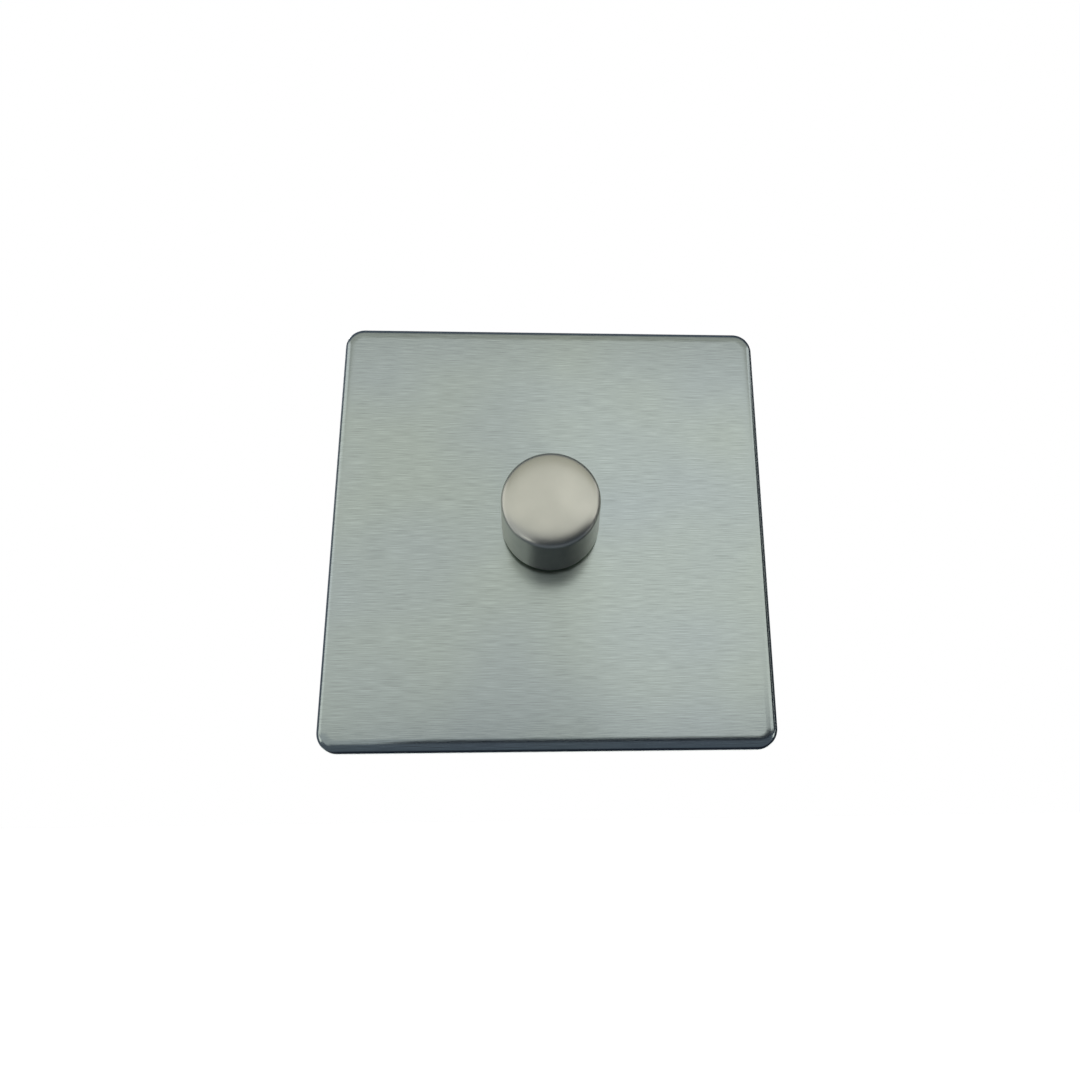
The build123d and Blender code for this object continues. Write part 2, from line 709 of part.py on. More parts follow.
with BuildPart() as wiper:
    with BuildSketch(behind(ROTOR_BACK)):
        Circle(WIPER_OUTER)
        Circle(WIPER_INNER, mode=Mode.SUBTRACT)
    extrude(amount=-WIPER_SHEET)
    with BuildSketch(Plane.YZ):
        with BuildLine():
            Polyline(
                (ROTOR_BACK + FINGER_SINK, FINGER_ROOT),
                (ROTOR_BACK + WIPER_SHEET, FINGER_HEEL),
                (finger_tip, track_middle),
                (finger_tip - FINGER_CURL, FINGER_TOE),
                (finger_tip - FINGER_CURL - FINGER_EDGE, FINGER_TOE - FINGER_EDGE / 2),
                (finger_tip - WIPER_SHEET, track_middle - FINGER_EDGE / 2),
                close=True,
            )
        make_face()
    extrude(amount=FINGER_HALF, both=True)
    with BuildSketch(behind(ROTOR_BACK)):
        with Locations((0, TRACK_OUTER)):
            Rectangle(FINGER_SLOT, 2 * (TRACK_OUTER - WIPER_OUTER))
    extrude(amount=-(TRACK_FRONT - ROTOR_BACK), mode=Mode.SUBTRACT)

wiper.part.label = "wiper"
export_step(wiper.part, "parts/wiper.step")

# Resistance track: disc that closes the pot, with a raised horseshoe open at six o'clock
with BuildPart() as resistance_track:
    with BuildSketch(behind(TRACK_FRONT)):
        Circle(POT_CAVITY - FIT_GAP)
        Circle(TRACK_HOLE, mode=Mode.SUBTRACT)
    extrude(amount=-(POT_BACK - TRACK_FRONT))
    with BuildSketch(behind(TRACK_FRONT)):
        add(ring_sector(TRACK_INNER, TRACK_OUTER, 90, 180 - TRACK_GAP_HALF))
    extrude(amount=TRACK_RAISE)

resistance_track.part.label = "resistance_track"
export_step(resistance_track.part, "parts/resistance_track.step")

# Track tags: three bent tags behind the track, soldered through the board
tag_bend = POT_RADIUS + TAG_STANDOFF
tag_tail = BOARD_BACK + TAG_TAIL

with BuildPart() as track_tags:
    with BuildSketch(Plane.YZ.offset(-TAG_WIDTH / 2)):
        with BuildLine():
            Polyline(
                (POT_BACK, -TAG_ROOT),
                (POT_BACK, -tag_bend),
                (tag_tail, -tag_bend),
                (tag_tail, -tag_bend + TAG_SHEET),
                (POT_BACK + TAG_SHEET, -tag_bend + TAG_SHEET),
                (POT_BACK + TAG_SHEET, -TAG_ROOT),
                close=True,
            )
        make_face()
    extrude(amount=TAG_WIDTH)
    middle_tag = track_tags.part
    with Locations((-TAG_PITCH, 0, 0), (TAG_PITCH, 0, 0)):
        add(middle_tag)

track_tags.part.label = "track_tags"
export_step(track_tags.part, "parts/track_tags.step")

# Module cover: front half of the case, with a locating lip and four screw posts
lip_width = CASE_WIDTH - 2 * CASE_WALL - 2 * LIP_GAP
lip_height = CASE_HEIGHT - 2 * CASE_WALL - 2 * LIP_GAP
inside_corner = CASE_CORNER - CASE_WALL
pillars = [(x, z) for x in (-PILLAR_X, PILLAR_X) for z in (PILLAR_LOW_Z, PILLAR_TOP_Z)]

with BuildPart() as module_cover:
    with BuildSketch(behind(0)):
        with Locations((0, CASE_CENTRE)):
            RectangleRounded(CASE_WIDTH, CASE_HEIGHT, CASE_CORNER)
    extrude(amount=-COVER_THICKNESS)
    chamfer(module_cover.faces().sort_by(Axis.Y)[0].edges(), COVER_CHAMFER)
    with BuildSketch(behind(COVER_THICKNESS)):
        with Locations((0, CASE_CENTRE)):
            RectangleRounded(lip_width, lip_height, inside_corner)
            RectangleRounded(
                lip_width - 2 * LIP_THICKNESS, lip_height - 2 * LIP_THICKNESS, LIP_CORNER, mode=Mode.SUBTRACT
            )
    extrude(amount=-LIP_DEPTH)
    with BuildSketch(behind(COVER_THICKNESS)):
        with Locations(*pillars):
            Circle(PILLAR_RADIUS)
    extrude(amount=-(BOARD_FRONT - COVER_THICKNESS))
    with BuildSketch(behind(BOARD_FRONT)):
        with Locations(*pillars):
            Circle(CASE_SCREW_RADIUS)
    extrude(amount=BOARD_FRONT - CASE_SCREW_TIP + CASE_SCREW_RELIEF, mode=Mode.SUBTRACT)
    with BuildSketch(behind(0)):
        Circle(BUSH_HOLE)
        with Locations((0, PEG_PLACE)):
            Circle(PEG_RADIUS + FIT_GAP)
    extrude(amount=-COVER_THICKNESS, mode=Mode.SUBTRACT)

module_cover.part.label = "module_cover"
export_step(module_cover.part, "parts/module_cover.step")

# Module base: rear tray with pillars, barriers between the terminals, wire entries and vents
tray_floor = CASE_DEPTH - CASE_WALL
case_low = CASE_CENTRE - CASE_HEIGHT / 2
case_high = CASE_CENTRE + CASE_HEIGHT / 2
terminal_top = TERMINAL_Z + TERMINAL_LENGTH / 2
barrier_low = case_low + CASE_WALL

with BuildPart() as module_base:
    with BuildSketch(behind(COVER_THICKNESS)):
        with Locations((0, CASE_CENTRE)):
            RectangleRounded(CASE_WIDTH, CASE_HEIGHT, CASE_CORNER)
    extrude(amount=-(CASE_DEPTH - COVER_THICKNESS))
    fillet(module_base.faces().sort_by(Axis.Y)[-1].edges(), CASE_BACK_EDGE)
    with BuildSketch(behind(COVER_THICKNESS)):
        with Locations((0, CASE_CENTRE)):
            RectangleRounded(CASE_WIDTH - 2 * CASE_WALL, CASE_HEIGHT - 2 * CASE_WALL, inside_corner)
    extrude(amount=-(tray_floor - COVER_THICKNESS), mode=Mode.SUBTRACT)
    with BuildSketch(behind(tray_floor)):
        with Locations(*pillars):
            Circle(PILLAR_RADIUS)
    extrude(amount=tray_floor - BOARD_BACK)
    with BuildSketch(behind(tray_floor)):
        with Locations((0, (barrier_low + terminal_top) / 2)):
            with GridLocations(TERMINAL_PITCH, 0, 2, 1):
                Rectangle(BARRIER, terminal_top - barrier_low + BARRIER_PAST)
    extrude(amount=tray_floor - BOARD_BACK - BARRIER_GAP)
    with BuildSketch(behind(CASE_DEPTH)):
        with Locations(*pillars):
            Circle(CASE_SCREW_HEAD + FIT_GAP)
    extrude(amount=CASE_WALL, mode=Mode.SUBTRACT)
    with BuildSketch(behind(CASE_DEPTH)):
        with Locations(*pillars):
            Circle(CASE_SCREW_HOLE)
        with Locations((0, TERMINAL_Z)):
            with GridLocations(TERMINAL_PITCH, 0, 3, 1):
                Circle(CASE_SCREW_HOLE)
        with Locations((0, VENT_Z)):
            with GridLocations(VENT_PITCH, 0, VENT_COUNT, 1):
                SlotOverall(VENT_LENGTH, VENT_WIDTH, rotation=90)
    extrude(amount=CASE_DEPTH - BOARD_BACK, mode=Mode.SUBTRACT)
    with BuildSketch(behind(CASE_DEPTH)):
        with Locations((0, TERMINAL_Z)):
            with GridLocations(TERMINAL_PITCH, 0, 3, 1):
                Circle(CLAMP_ACCESS)
    extrude(amount=CASE_WALL, mode=Mode.SUBTRACT)
    with BuildSketch(Plane.XY.offset(case_low)):
        with Locations((0, WIRE_IN)):
            with GridLocations(TERMINAL_PITCH, 0, 3, 1):
                RectangleRounded(WIRE_ENTRY, WIRE_ENTRY, WIRE_ENTRY_CORNER)
    extrude(amount=CASE_WALL, mode=Mode.SUBTRACT)

module_base.part.label = "module_base"
export_step(module_base.part, "parts/module_base.step")

# Case screws: four, from the back through the board into the cover's posts
head_seat = CASE_DEPTH - CASE_WALL

with BuildPart() as cover_screws:
    with BuildSketch(behind(CASE_SCREW_TIP)):
        with Locations(*pillars):
            Circle(CASE_SCREW_RADIUS)
    extrude(amount=-(head_seat - CASE_SCREW_TIP))
    with BuildSketch(behind(head_seat)):
        with Locations(*pillars):
            Circle(CASE_SCREW_HEAD)
    extrude(amount=-(CASE_WALL - CASE_SCREW_SUNK))
    with BuildSketch(behind(CASE_DEPTH - CASE_SCREW_SUNK)):
        with Locations(*pillars):
            Rectangle(CROSS_LENGTH, CROSS_WIDTH)
            Rectangle(CROSS_WIDTH, CROSS_LENGTH)
    extrude(amount=CROSS_DEPTH, mode=Mode.SUBTRACT)

cover_screws.part.label = "cover_screws"
export_step(cover_screws.part, "parts/cover_screws.step")

# Circuit board: cut out round the switch and drilled for the case screws
with BuildPart() as circuit_board:
    with BuildSketch(behind(BOARD_FRONT)):
        with Locations((0, CASE_CENTRE)):
            RectangleRounded(BOARD_WIDTH, BOARD_HEIGHT, BOARD_CORNER)
        Rectangle(SWITCH_CUTOUT, SWITCH_CUTOUT, mode=Mode.SUBTRACT)
        with Locations(*pillars):
            Circle(CASE_SCREW_HOLE, mode=Mode.SUBTRACT)
        with Locations((0, -tag_bend + TAG_SHEET / 2)):
            with GridLocations(TAG_PITCH, 0, 3, 1):
                Rectangle(TAG_WIDTH + BOARD_SLOT_GAP, TAG_SHEET + BOARD_SLOT_GAP, mode=Mode.SUBTRACT)
        with GridLocations(2 * BLADE_OUTSIDE - BLADE_SHEET, 0, 2, 1):
            Rectangle(BLADE_SHEET + BOARD_SLOT_GAP, BLADE_WIDTH + BOARD_SLOT_GAP, mode=Mode.SUBTRACT)
    extrude(amount=-(BOARD_BACK - BOARD_FRONT))

circuit_board.part.label = "circuit_board"
export_step(circuit_board.part, "parts/circuit_board.step")

# Heat sink: bent bracket beside the switch, its fin along the case wall
sink_face = BOARD_BACK + SINK_SHEET

with BuildPart() as heat_sink:
    with BuildSketch(Plane.XY.offset(SINK_LOW)):
        with BuildLine():
            Polyline(
                (SINK_LEFT, BOARD_BACK),
                (SINK_RIGHT, BOARD_BACK),
                (SINK_RIGHT, sink_face),
                (SINK_LEFT + SINK_SHEET, sink_face),
                (SINK_LEFT + SINK_SHEET, SINK_FIN_BACK),
                (SINK_LEFT, SINK_FIN_BACK),
                close=True,
            )
        make_face()
    extrude(amount=SINK_HIGH - SINK_LOW)
    upright_edges = heat_sink.edges().filter_by(Axis.Z)
    outer_edges = upright_edges.filter_by(lambda e: e.center().X < SINK_LEFT + NEAR)
    fillet(outer_edges.sort_by(Axis.Y)[0], SINK_BEND)
    with BuildSketch(behind(BOARD_BACK)):
        with Locations((TRIAC_X, TRIAC_HOLE_Z)):
            Circle(TRIAC_SCREW + FIT_GAP)
    extrude(amount=-SINK_SHEET, mode=Mode.SUBTRACT)

heat_sink.part.label = "heat_sink"
export_step(heat_sink.part, "parts/heat_sink.step")

# Triac: moulded body, metal tab and three bent legs
leg_front = sink_face + LEG_RISE
leg_low = SINK_LOW - LEG_REACH

with BuildPart() as triac:
    with BuildSketch(behind(sink_face)):
        with Locations((TRIAC_X, (TRIAC_BODY_LOW + TRIAC_BODY_HIGH) / 2)):
            Rectangle(TRIAC_WIDTH, TRIAC_BODY_HIGH - TRIAC_BODY_LOW)
    extrude(amount=-TRIAC_DEPTH)
    chamfer(triac.faces().sort_by(Axis.Y)[-1].edges(), TRIAC_CHAMFER)
    with BuildSketch(behind(sink_face)):
        with Locations((TRIAC_X, (TRIAC_BODY_HIGH + TRIAC_TAB_HIGH) / 2)):
            Rectangle(TRIAC_WIDTH, TRIAC_TAB_HIGH - TRIAC_BODY_HIGH)
        with Locations((TRIAC_X, TRIAC_HOLE_Z)):
            Circle(TRIAC_SCREW + TRIAC_HOLE_GAP, mode=Mode.SUBTRACT)
    extrude(amount=-TRIAC_TAB)
    for leg in (-1, 0, 1):
        with BuildSketch(Plane.YZ.offset(TRIAC_X + leg * LEG_PITCH - LEG_WIDTH / 2)):
            with BuildLine():
                Polyline(
                    (leg_front + LEG_SHEET, TRIAC_BODY_LOW),
                    (leg_front + LEG_SHEET, leg_low - LEG_SHEET),
                    (BOARD_BACK, leg_low - LEG_SHEET),
                    (BOARD_BACK, leg_low),
                    (leg_front, leg_low),
                    (leg_front, TRIAC_BODY_LOW),
                    close=True,
                )
            make_face()
        extrude(amount=LEG_WIDTH)

triac.part.label = "triac"
export_step(triac.part, "parts/triac.step")

# Triac screw
with BuildPart() as triac_screw:
    with BuildSketch(behind(BOARD_BACK)):
        with Locations((TRIAC_X, TRIAC_HOLE_Z)):
            Circle(TRIAC_SCREW)
    extrude(amount=-(SINK_SHEET + TRIAC_TAB))
    with BuildSketch(behind(sink_face + TRIAC_TAB)):
        with Locations((TRIAC_X, TRIAC_HOLE_Z)):
            Circle(TRIAC_SCREW_HEAD)
    extrude(amount=-TRIAC_SCREW_HEIGHT)
    with BuildSketch(behind(sink_face + TRIAC_TAB + TRIAC_SCREW_HEIGHT)):
        with Locations((TRIAC_X, TRIAC_HOLE_Z)):
            Rectangle(2 * TRIAC_SCREW, SCREW_SLOT)
            Rectangle(SCREW_SLOT, 2 * TRIAC_SCREW)
    extrude(amount=SCREW_SLOT, mode=Mode.SUBTRACT)

triac_screw.part.label = "triac_screw"
export_step(triac_screw.part, "parts/triac_screw.step")

# Choke: ferrite ring with its turns wound through it
choke_front = BOARD_BACK + CHOKE_WIRE

with BuildPart() as choke_core:
    with BuildSketch(behind(choke_front)):
        with Locations((CHOKE_X, CHOKE_Z)):
            Circle(CHOKE_OUTER)
            Circle(CHOKE_INNER, mode=Mode.SUBTRACT)
    extrude(amount=-CHOKE_HEIGHT)

choke_core.part.label = "choke_core"
export_step(choke_core.part, "parts/choke_core.step")

with BuildPart() as choke_winding:
    for turn in range(CHOKE_TURNS):
        around = Plane((CHOKE_X, BOARD_BACK, CHOKE_Z), x_dir=(1, 0, 0), z_dir=(0, 0, -1))
        with BuildSketch(around.rotated((0, 360 * turn / CHOKE_TURNS, 0))):
            with Locations(((CHOKE_INNER + CHOKE_OUTER) / 2, -choke_front + BOARD_BACK - CHOKE_HEIGHT / 2)):
                Rectangle(CHOKE_OUTER - CHOKE_INNER + 2 * CHOKE_WIRE, CHOKE_HEIGHT + 2 * CHOKE_WIRE)
                Rectangle(
                    CHOKE_OUTER - CHOKE_INNER + 2 * CHOKE_WIRE_GAP,
                    CHOKE_HEIGHT + 2 * CHOKE_WIRE_GAP,
                    mode=Mode.SUBTRACT,
                )
        extrude(amount=CHOKE_WIRE / 2, both=True)

choke_winding.part.label = "choke_winding"
export_step(choke_winding.part, "parts/choke_winding.step")

# Suppressor capacitor and timing capacitor: potted boxes that stand on the board
with BuildPart() as suppressor_capacitor:
    x, z, width, height, depth = SUPPRESSOR
    with BuildSketch(behind(BOARD_BACK)):
        with Locations((x, z)):
            RectangleRounded(width, height, POTTING_CORNER)
    extrude(amount=-depth)
    fillet(suppressor_capacitor.faces().sort_by(Axis.Y)[-1].edges(), POTTING_EDGE)

suppressor_capacitor.part.label = "suppressor_capacitor"
export_step(suppressor_capacitor.part, "parts/suppressor_capacitor.step")

with BuildPart() as timing_capacitor:
    x, z, width, height, depth = TIMING
    with BuildSketch(behind(BOARD_BACK)):
        with Locations((x, z)):
            RectangleRounded(width, height, POTTING_CORNER)
    extrude(amount=-depth)
    fillet(timing_capacitor.faces().sort_by(Axis.Y)[-1].edges(), POTTING_EDGE)

timing_capacitor.part.label = "timing_capacitor"
export_step(timing_capacitor.part, "parts/timing_capacitor.step")


def axial_component(x, z, radius, length, lead_span):
    """Adds one wired component to the part in hand: a body along Z and leads bent to the board."""
    height = BOARD_BACK + radius
    with Locations((x, height, z)):
        Cylinder(radius, length)
        Cylinder(LEAD_RADIUS, lead_span)
    for end in (-1, 1):
        with Locations((x, (BOARD_BACK + height) / 2, z + end * (lead_span / 2 - LEAD_RADIUS))):
            Cylinder(LEAD_RADIUS, radius, rotation=(90, 0, 0))


# Resistors, trigger diode and fuse, laid along the board's right side
with BuildPart() as resistors:
    for resistor in RESISTORS:
        axial_component(*resistor)

resistors.part.label = "resistors"
export_step(resistors.part, "parts/resistors.step")

with BuildPart() as diac:
    axial_component(*DIAC)

diac.part.label = "diac"
export_step(diac.part, "parts/diac.step")

with BuildPart() as fuse:
    axial_component(*FUSE)

fuse.part.label = "fuse"
export_step(fuse.part, "parts/fuse.step")

# Terminals: three brass blocks, drilled from below for the wire and from behind for its screw
with BuildPart() as terminals:
    with BuildSketch(behind(BOARD_BACK)):
        with Locations((0, TERMINAL_Z)):
            with GridLocations(TERMINAL_PITCH, 0, 3, 1):
                Rectangle(TERMINAL_WIDTH, TERMINAL_LENGTH)
    extrude(amount=-(TERMINAL_BACK - BOARD_BACK))
    chamfer(terminals.edges().filter_by(Axis.Z), TERMINAL_CHAMFER)
    with BuildSketch(Plane.XY.offset(TERMINAL_Z)):
        with Locations((0, WIRE_IN)):
            with GridLocations(TERMINAL_PITCH, 0, 3, 1):
                Circle(WIRE_RADIUS)
    extrude(amount=TERMINAL_LENGTH, both=True, mode=Mode.SUBTRACT)
    with BuildSketch(behind(TERMINAL_BACK)):
        with Locations((0, TERMINAL_Z)):
            with GridLocations(TERMINAL_PITCH, 0, 3, 1):
                Circle(CLAMP_RADIUS + FIT_GAP)
    extrude(amount=TERMINAL_BACK - WIRE_IN, mode=Mode.SUBTRACT)

terminals.part.label = "terminals"
export_step(terminals.part, "parts/terminals.step")

# Terminal screws: slotted, backed off so that their tips clear the wires
clamp_tip = WIRE_IN + WIRE_RADIUS + CLAMP_TIP_GAP
clamp_seat = TERMINAL_BACK + CLAMP_PROUD

with BuildPart() as terminal_screws:
    with BuildSketch(behind(clamp_tip)):
        with Locations((0, TERMINAL_Z)):
            with GridLocations(TERMINAL_PITCH, 0, 3, 1):
                Circle(CLAMP_RADIUS)
    extrude(amount=-(clamp_seat - clamp_tip))
    with BuildSketch(behind(clamp_seat)):
        with Locations((0, TERMINAL_Z)):
            with GridLocations(TERMINAL_PITCH, 0, 3, 1):
                Circle(CLAMP_HEAD)
    extrude(amount=-CLAMP_HEAD_DEPTH)
    with BuildSketch(behind(clamp_seat + CLAMP_HEAD_DEPTH)):
        with Locations((0, TERMINAL_Z)):
            with GridLocations(TERMINAL_PITCH, 0, 3, 1):
                Rectangle(SCREW_SLOT, 2 * CLAMP_HEAD)
    extrude(amount=SCREW_SLOT, mode=Mode.SUBTRACT)

terminal_screws.part.label = "terminal_screws"
export_step(terminal_screws.part, "parts/terminal_screws.step")

# Push switch case: square box with a round front opening and two windows for the contact blades
with BuildPart() as switch_case:
    with BuildSketch(behind(POT_BACK)):
        RectangleRounded(SWITCH, SWITCH, SWITCH_CORNER)
    extrude(amount=-(SWITCH_BACK - POT_BACK))
    with BuildSketch(behind(POT_BACK + SWITCH_WALL)):
        Rectangle(SWITCH - 2 * SWITCH_WALL, SWITCH - 2 * SWITCH_WALL)
    extrude(amount=-(SWITCH_BACK - POT_BACK - 2 * SWITCH_WALL), mode=Mode.SUBTRACT)
    with BuildSketch(behind(POT_BACK)):
        Circle(SWITCH_OPENING)
    extrude(amount=-SWITCH_WALL, mode=Mode.SUBTRACT)
    with BuildSketch(Plane.YZ):
        with Locations((BLADE_IN + BLADE_SHEET / 2, 0)):
            Rectangle(BLADE_SHEET, BLADE_WIDTH)
    extrude(amount=SWITCH, both=True, mode=Mode.SUBTRACT)

switch_case.part.label = "switch_case"
export_step(switch_case.part, "parts/switch_case.step")

# Switch plunger: square slide with a round neck in front and the spring's pocket behind
with BuildPart() as switch_plunger:
    with BuildSketch(behind(PLUNGER_FRONT)):
        RectangleRounded(PLUNGER, PLUNGER, PLUNGER_CORNER)
    extrude(amount=-(PLUNGER_BACK - PLUNGER_FRONT))
    with BuildSketch(behind(PLUNGER_TIP)):
        Circle(PLUNGER_NECK)
    extrude(amount=-(PLUNGER_FRONT - PLUNGER_TIP))
    with BuildSketch(behind(SPRING_SEAT)):
        Circle(SPRING_POCKET)
    extrude(amount=-(PLUNGER_BACK - SPRING_SEAT), mode=Mode.SUBTRACT)

switch_plunger.part.label = "switch_plunger"
export_step(switch_plunger.part, "parts/switch_plunger.step")

# Switch bridge: sprung copper plate behind the plunger, with a contact at each end
with BuildPart() as switch_bridge:
    with BuildSketch(behind(PLUNGER_BACK)):
        Rectangle(2 * (CONTACT_PLACE + CONTACT_RADIUS), BLADE_WIDTH)
        Circle(SPRING_POCKET + BRIDGE_RING)
        Circle(SPRING_POCKET, mode=Mode.SUBTRACT)
    extrude(amount=-BRIDGE_SHEET)
    with BuildSketch(behind(PLUNGER_BACK + BRIDGE_SHEET)):
        with GridLocations(2 * CONTACT_PLACE, 0, 2, 1):
            Circle(CONTACT_RADIUS)
    extrude(amount=-CONTACT_RISE)

switch_bridge.part.label = "switch_bridge"
export_step(switch_bridge.part, "parts/switch_bridge.step")

# Fixed contacts: two blades through the switch wall, bent forward to the board
blade_inside = CONTACT_PLACE - CONTACT_RADIUS - BLADE_PAST

with BuildPart() as fixed_contacts:
    with BuildSketch(Plane.XY.offset(-BLADE_WIDTH / 2)):
        with BuildLine():
            Polyline(
                (blade_inside, BLADE_IN),
                (BLADE_OUTSIDE - BLADE_SHEET, BLADE_IN),
                (BLADE_OUTSIDE - BLADE_SHEET, BOARD_FRONT),
                (BLADE_OUTSIDE, BOARD_FRONT),
                (BLADE_OUTSIDE, BLADE_IN + BLADE_SHEET),
                (blade_inside, BLADE_IN + BLADE_SHEET),
                close=True,
            )
        make_face()
    extrude(amount=BLADE_WIDTH)
    mirror(about=Plane.YZ)

fixed_contacts.part.label = "fixed_contacts"
export_step(fixed_contacts.part, "parts/fixed_contacts.step")

# Return spring: round wire coil between the plunger's pocket and the switch's back wall
spring_end = SWITCH_BACK - SWITCH_WALL - SPRING_WIRE
spring_start = SPRING_SEAT + SPRING_WIRE

with BuildPart() as return_spring:
    with BuildLine() as coil:
        Helix(
            pitch=(spring_end - spring_start) / SPRING_TURNS,
            height=spring_end - spring_start,
            radius=SPRING_RADIUS,
            center=(0, spring_start, 0),
            direction=(0, 1, 0),
        )
    with BuildSketch(coil.line ^ 0):
        Circle(SPRING_WIRE)
    sweep()

return_spring.part.label = "return_spring"
export_step(return_spring.part, "parts/return_spring.step")
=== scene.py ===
"""Looks of a one-gang rotary push dimmer switch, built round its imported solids.

Lengths in the classes are millimetres. Seen from the room, X runs right and Z up, and Y runs into the wall,
so a point OUT millimetres in front of the wall plane has Y = -OUT.
"""

import json
import logging
import math
from dataclasses import dataclass, field
from enum import Enum
from typing import Iterable, Iterator, Sequence

import bmesh
import bpy
from mathutils import Matrix, Vector


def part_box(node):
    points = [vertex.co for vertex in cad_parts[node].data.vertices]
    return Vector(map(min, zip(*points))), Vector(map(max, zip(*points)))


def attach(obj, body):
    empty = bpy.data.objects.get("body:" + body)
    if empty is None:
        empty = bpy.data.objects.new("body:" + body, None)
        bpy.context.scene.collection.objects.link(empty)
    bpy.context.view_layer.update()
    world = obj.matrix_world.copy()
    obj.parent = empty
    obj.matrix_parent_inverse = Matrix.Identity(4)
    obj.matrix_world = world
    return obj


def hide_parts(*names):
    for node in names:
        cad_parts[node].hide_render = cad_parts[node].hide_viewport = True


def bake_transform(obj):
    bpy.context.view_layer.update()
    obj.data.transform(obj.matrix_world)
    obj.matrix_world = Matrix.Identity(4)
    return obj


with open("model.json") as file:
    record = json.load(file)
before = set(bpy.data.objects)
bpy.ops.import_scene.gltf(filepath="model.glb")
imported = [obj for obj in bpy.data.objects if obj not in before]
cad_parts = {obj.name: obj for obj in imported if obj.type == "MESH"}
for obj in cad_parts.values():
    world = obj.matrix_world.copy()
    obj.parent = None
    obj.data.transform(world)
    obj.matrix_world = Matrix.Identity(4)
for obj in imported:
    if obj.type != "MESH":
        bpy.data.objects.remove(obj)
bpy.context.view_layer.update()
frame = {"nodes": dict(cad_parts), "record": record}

MM = 0.001
LOG = logging.getLogger("dimmer")

Point = tuple[float, float]
Place = tuple[float, float, float]
Colour = tuple[float, float, float]
Socket = bpy.types.NodeSocket
Feed = Socket | float | tuple[float, ...]


def at(x: float, out: float, z: float) -> Vector:
    """A point in metres from millimetres right, out of the wall and up."""
    return Vector((x, -out, z)) * MM


@dataclass(frozen=True)
class Extent:
    """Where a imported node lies, in millimetres, with back and front measured out of the wall."""

    left: float
    right: float
    low: float
    high: float
    back: float
    front: float

    @classmethod
    def of(cls, node: str) -> "Extent":
        """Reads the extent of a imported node."""
        lowest, highest = (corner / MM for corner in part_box(node))
        return cls(lowest.x, highest.x, lowest.z, highest.z, -highest.y, -lowest.y)

    @property
    def middle(self) -> Point:
        """Centre seen from the room, as X and Z."""
        return (self.left + self.right) / 2, (self.low + self.high) / 2

    @property
    def width(self) -> float:
        """Size along X."""
        return self.right - self.left


class Grain(Enum):
    """What a finish takes its pattern's place from."""

    SOLID = "Object"
    SHEET = "UV"


def fill(node: bpy.types.Node, values: dict[str | int, Feed]) -> None:
    """Sets a node's inputs, or links them where the value is another node's output.

    Args:
        node: The node.
        values: What each input gets, by its name or its place.
    """
    for name, value in values.items():
        if isinstance(value, Socket):
            node.id_data.links.new(value, node.inputs[name])
        else:
            node.inputs[name].default_value = value


def grow(
    tree: bpy.types.NodeTree, kind: str, output: str | int, values: dict[str | int, Feed], **options: str
) -> Socket:
    """Adds a node to a tree.

    Args:
        tree: The tree.
        kind: The node's type, without the words that all of them start with.
        output: The output that is wanted, by its name or its place.
        values: What its inputs get.
        options: The node's own settings.

    Returns:
        The wanted output.
    """
    node = tree.nodes.new(f"ShaderNode{kind}")
    for name, option in options.items():
        setattr(node, name, option)
    fill(node, values)
    return node.outputs[output]


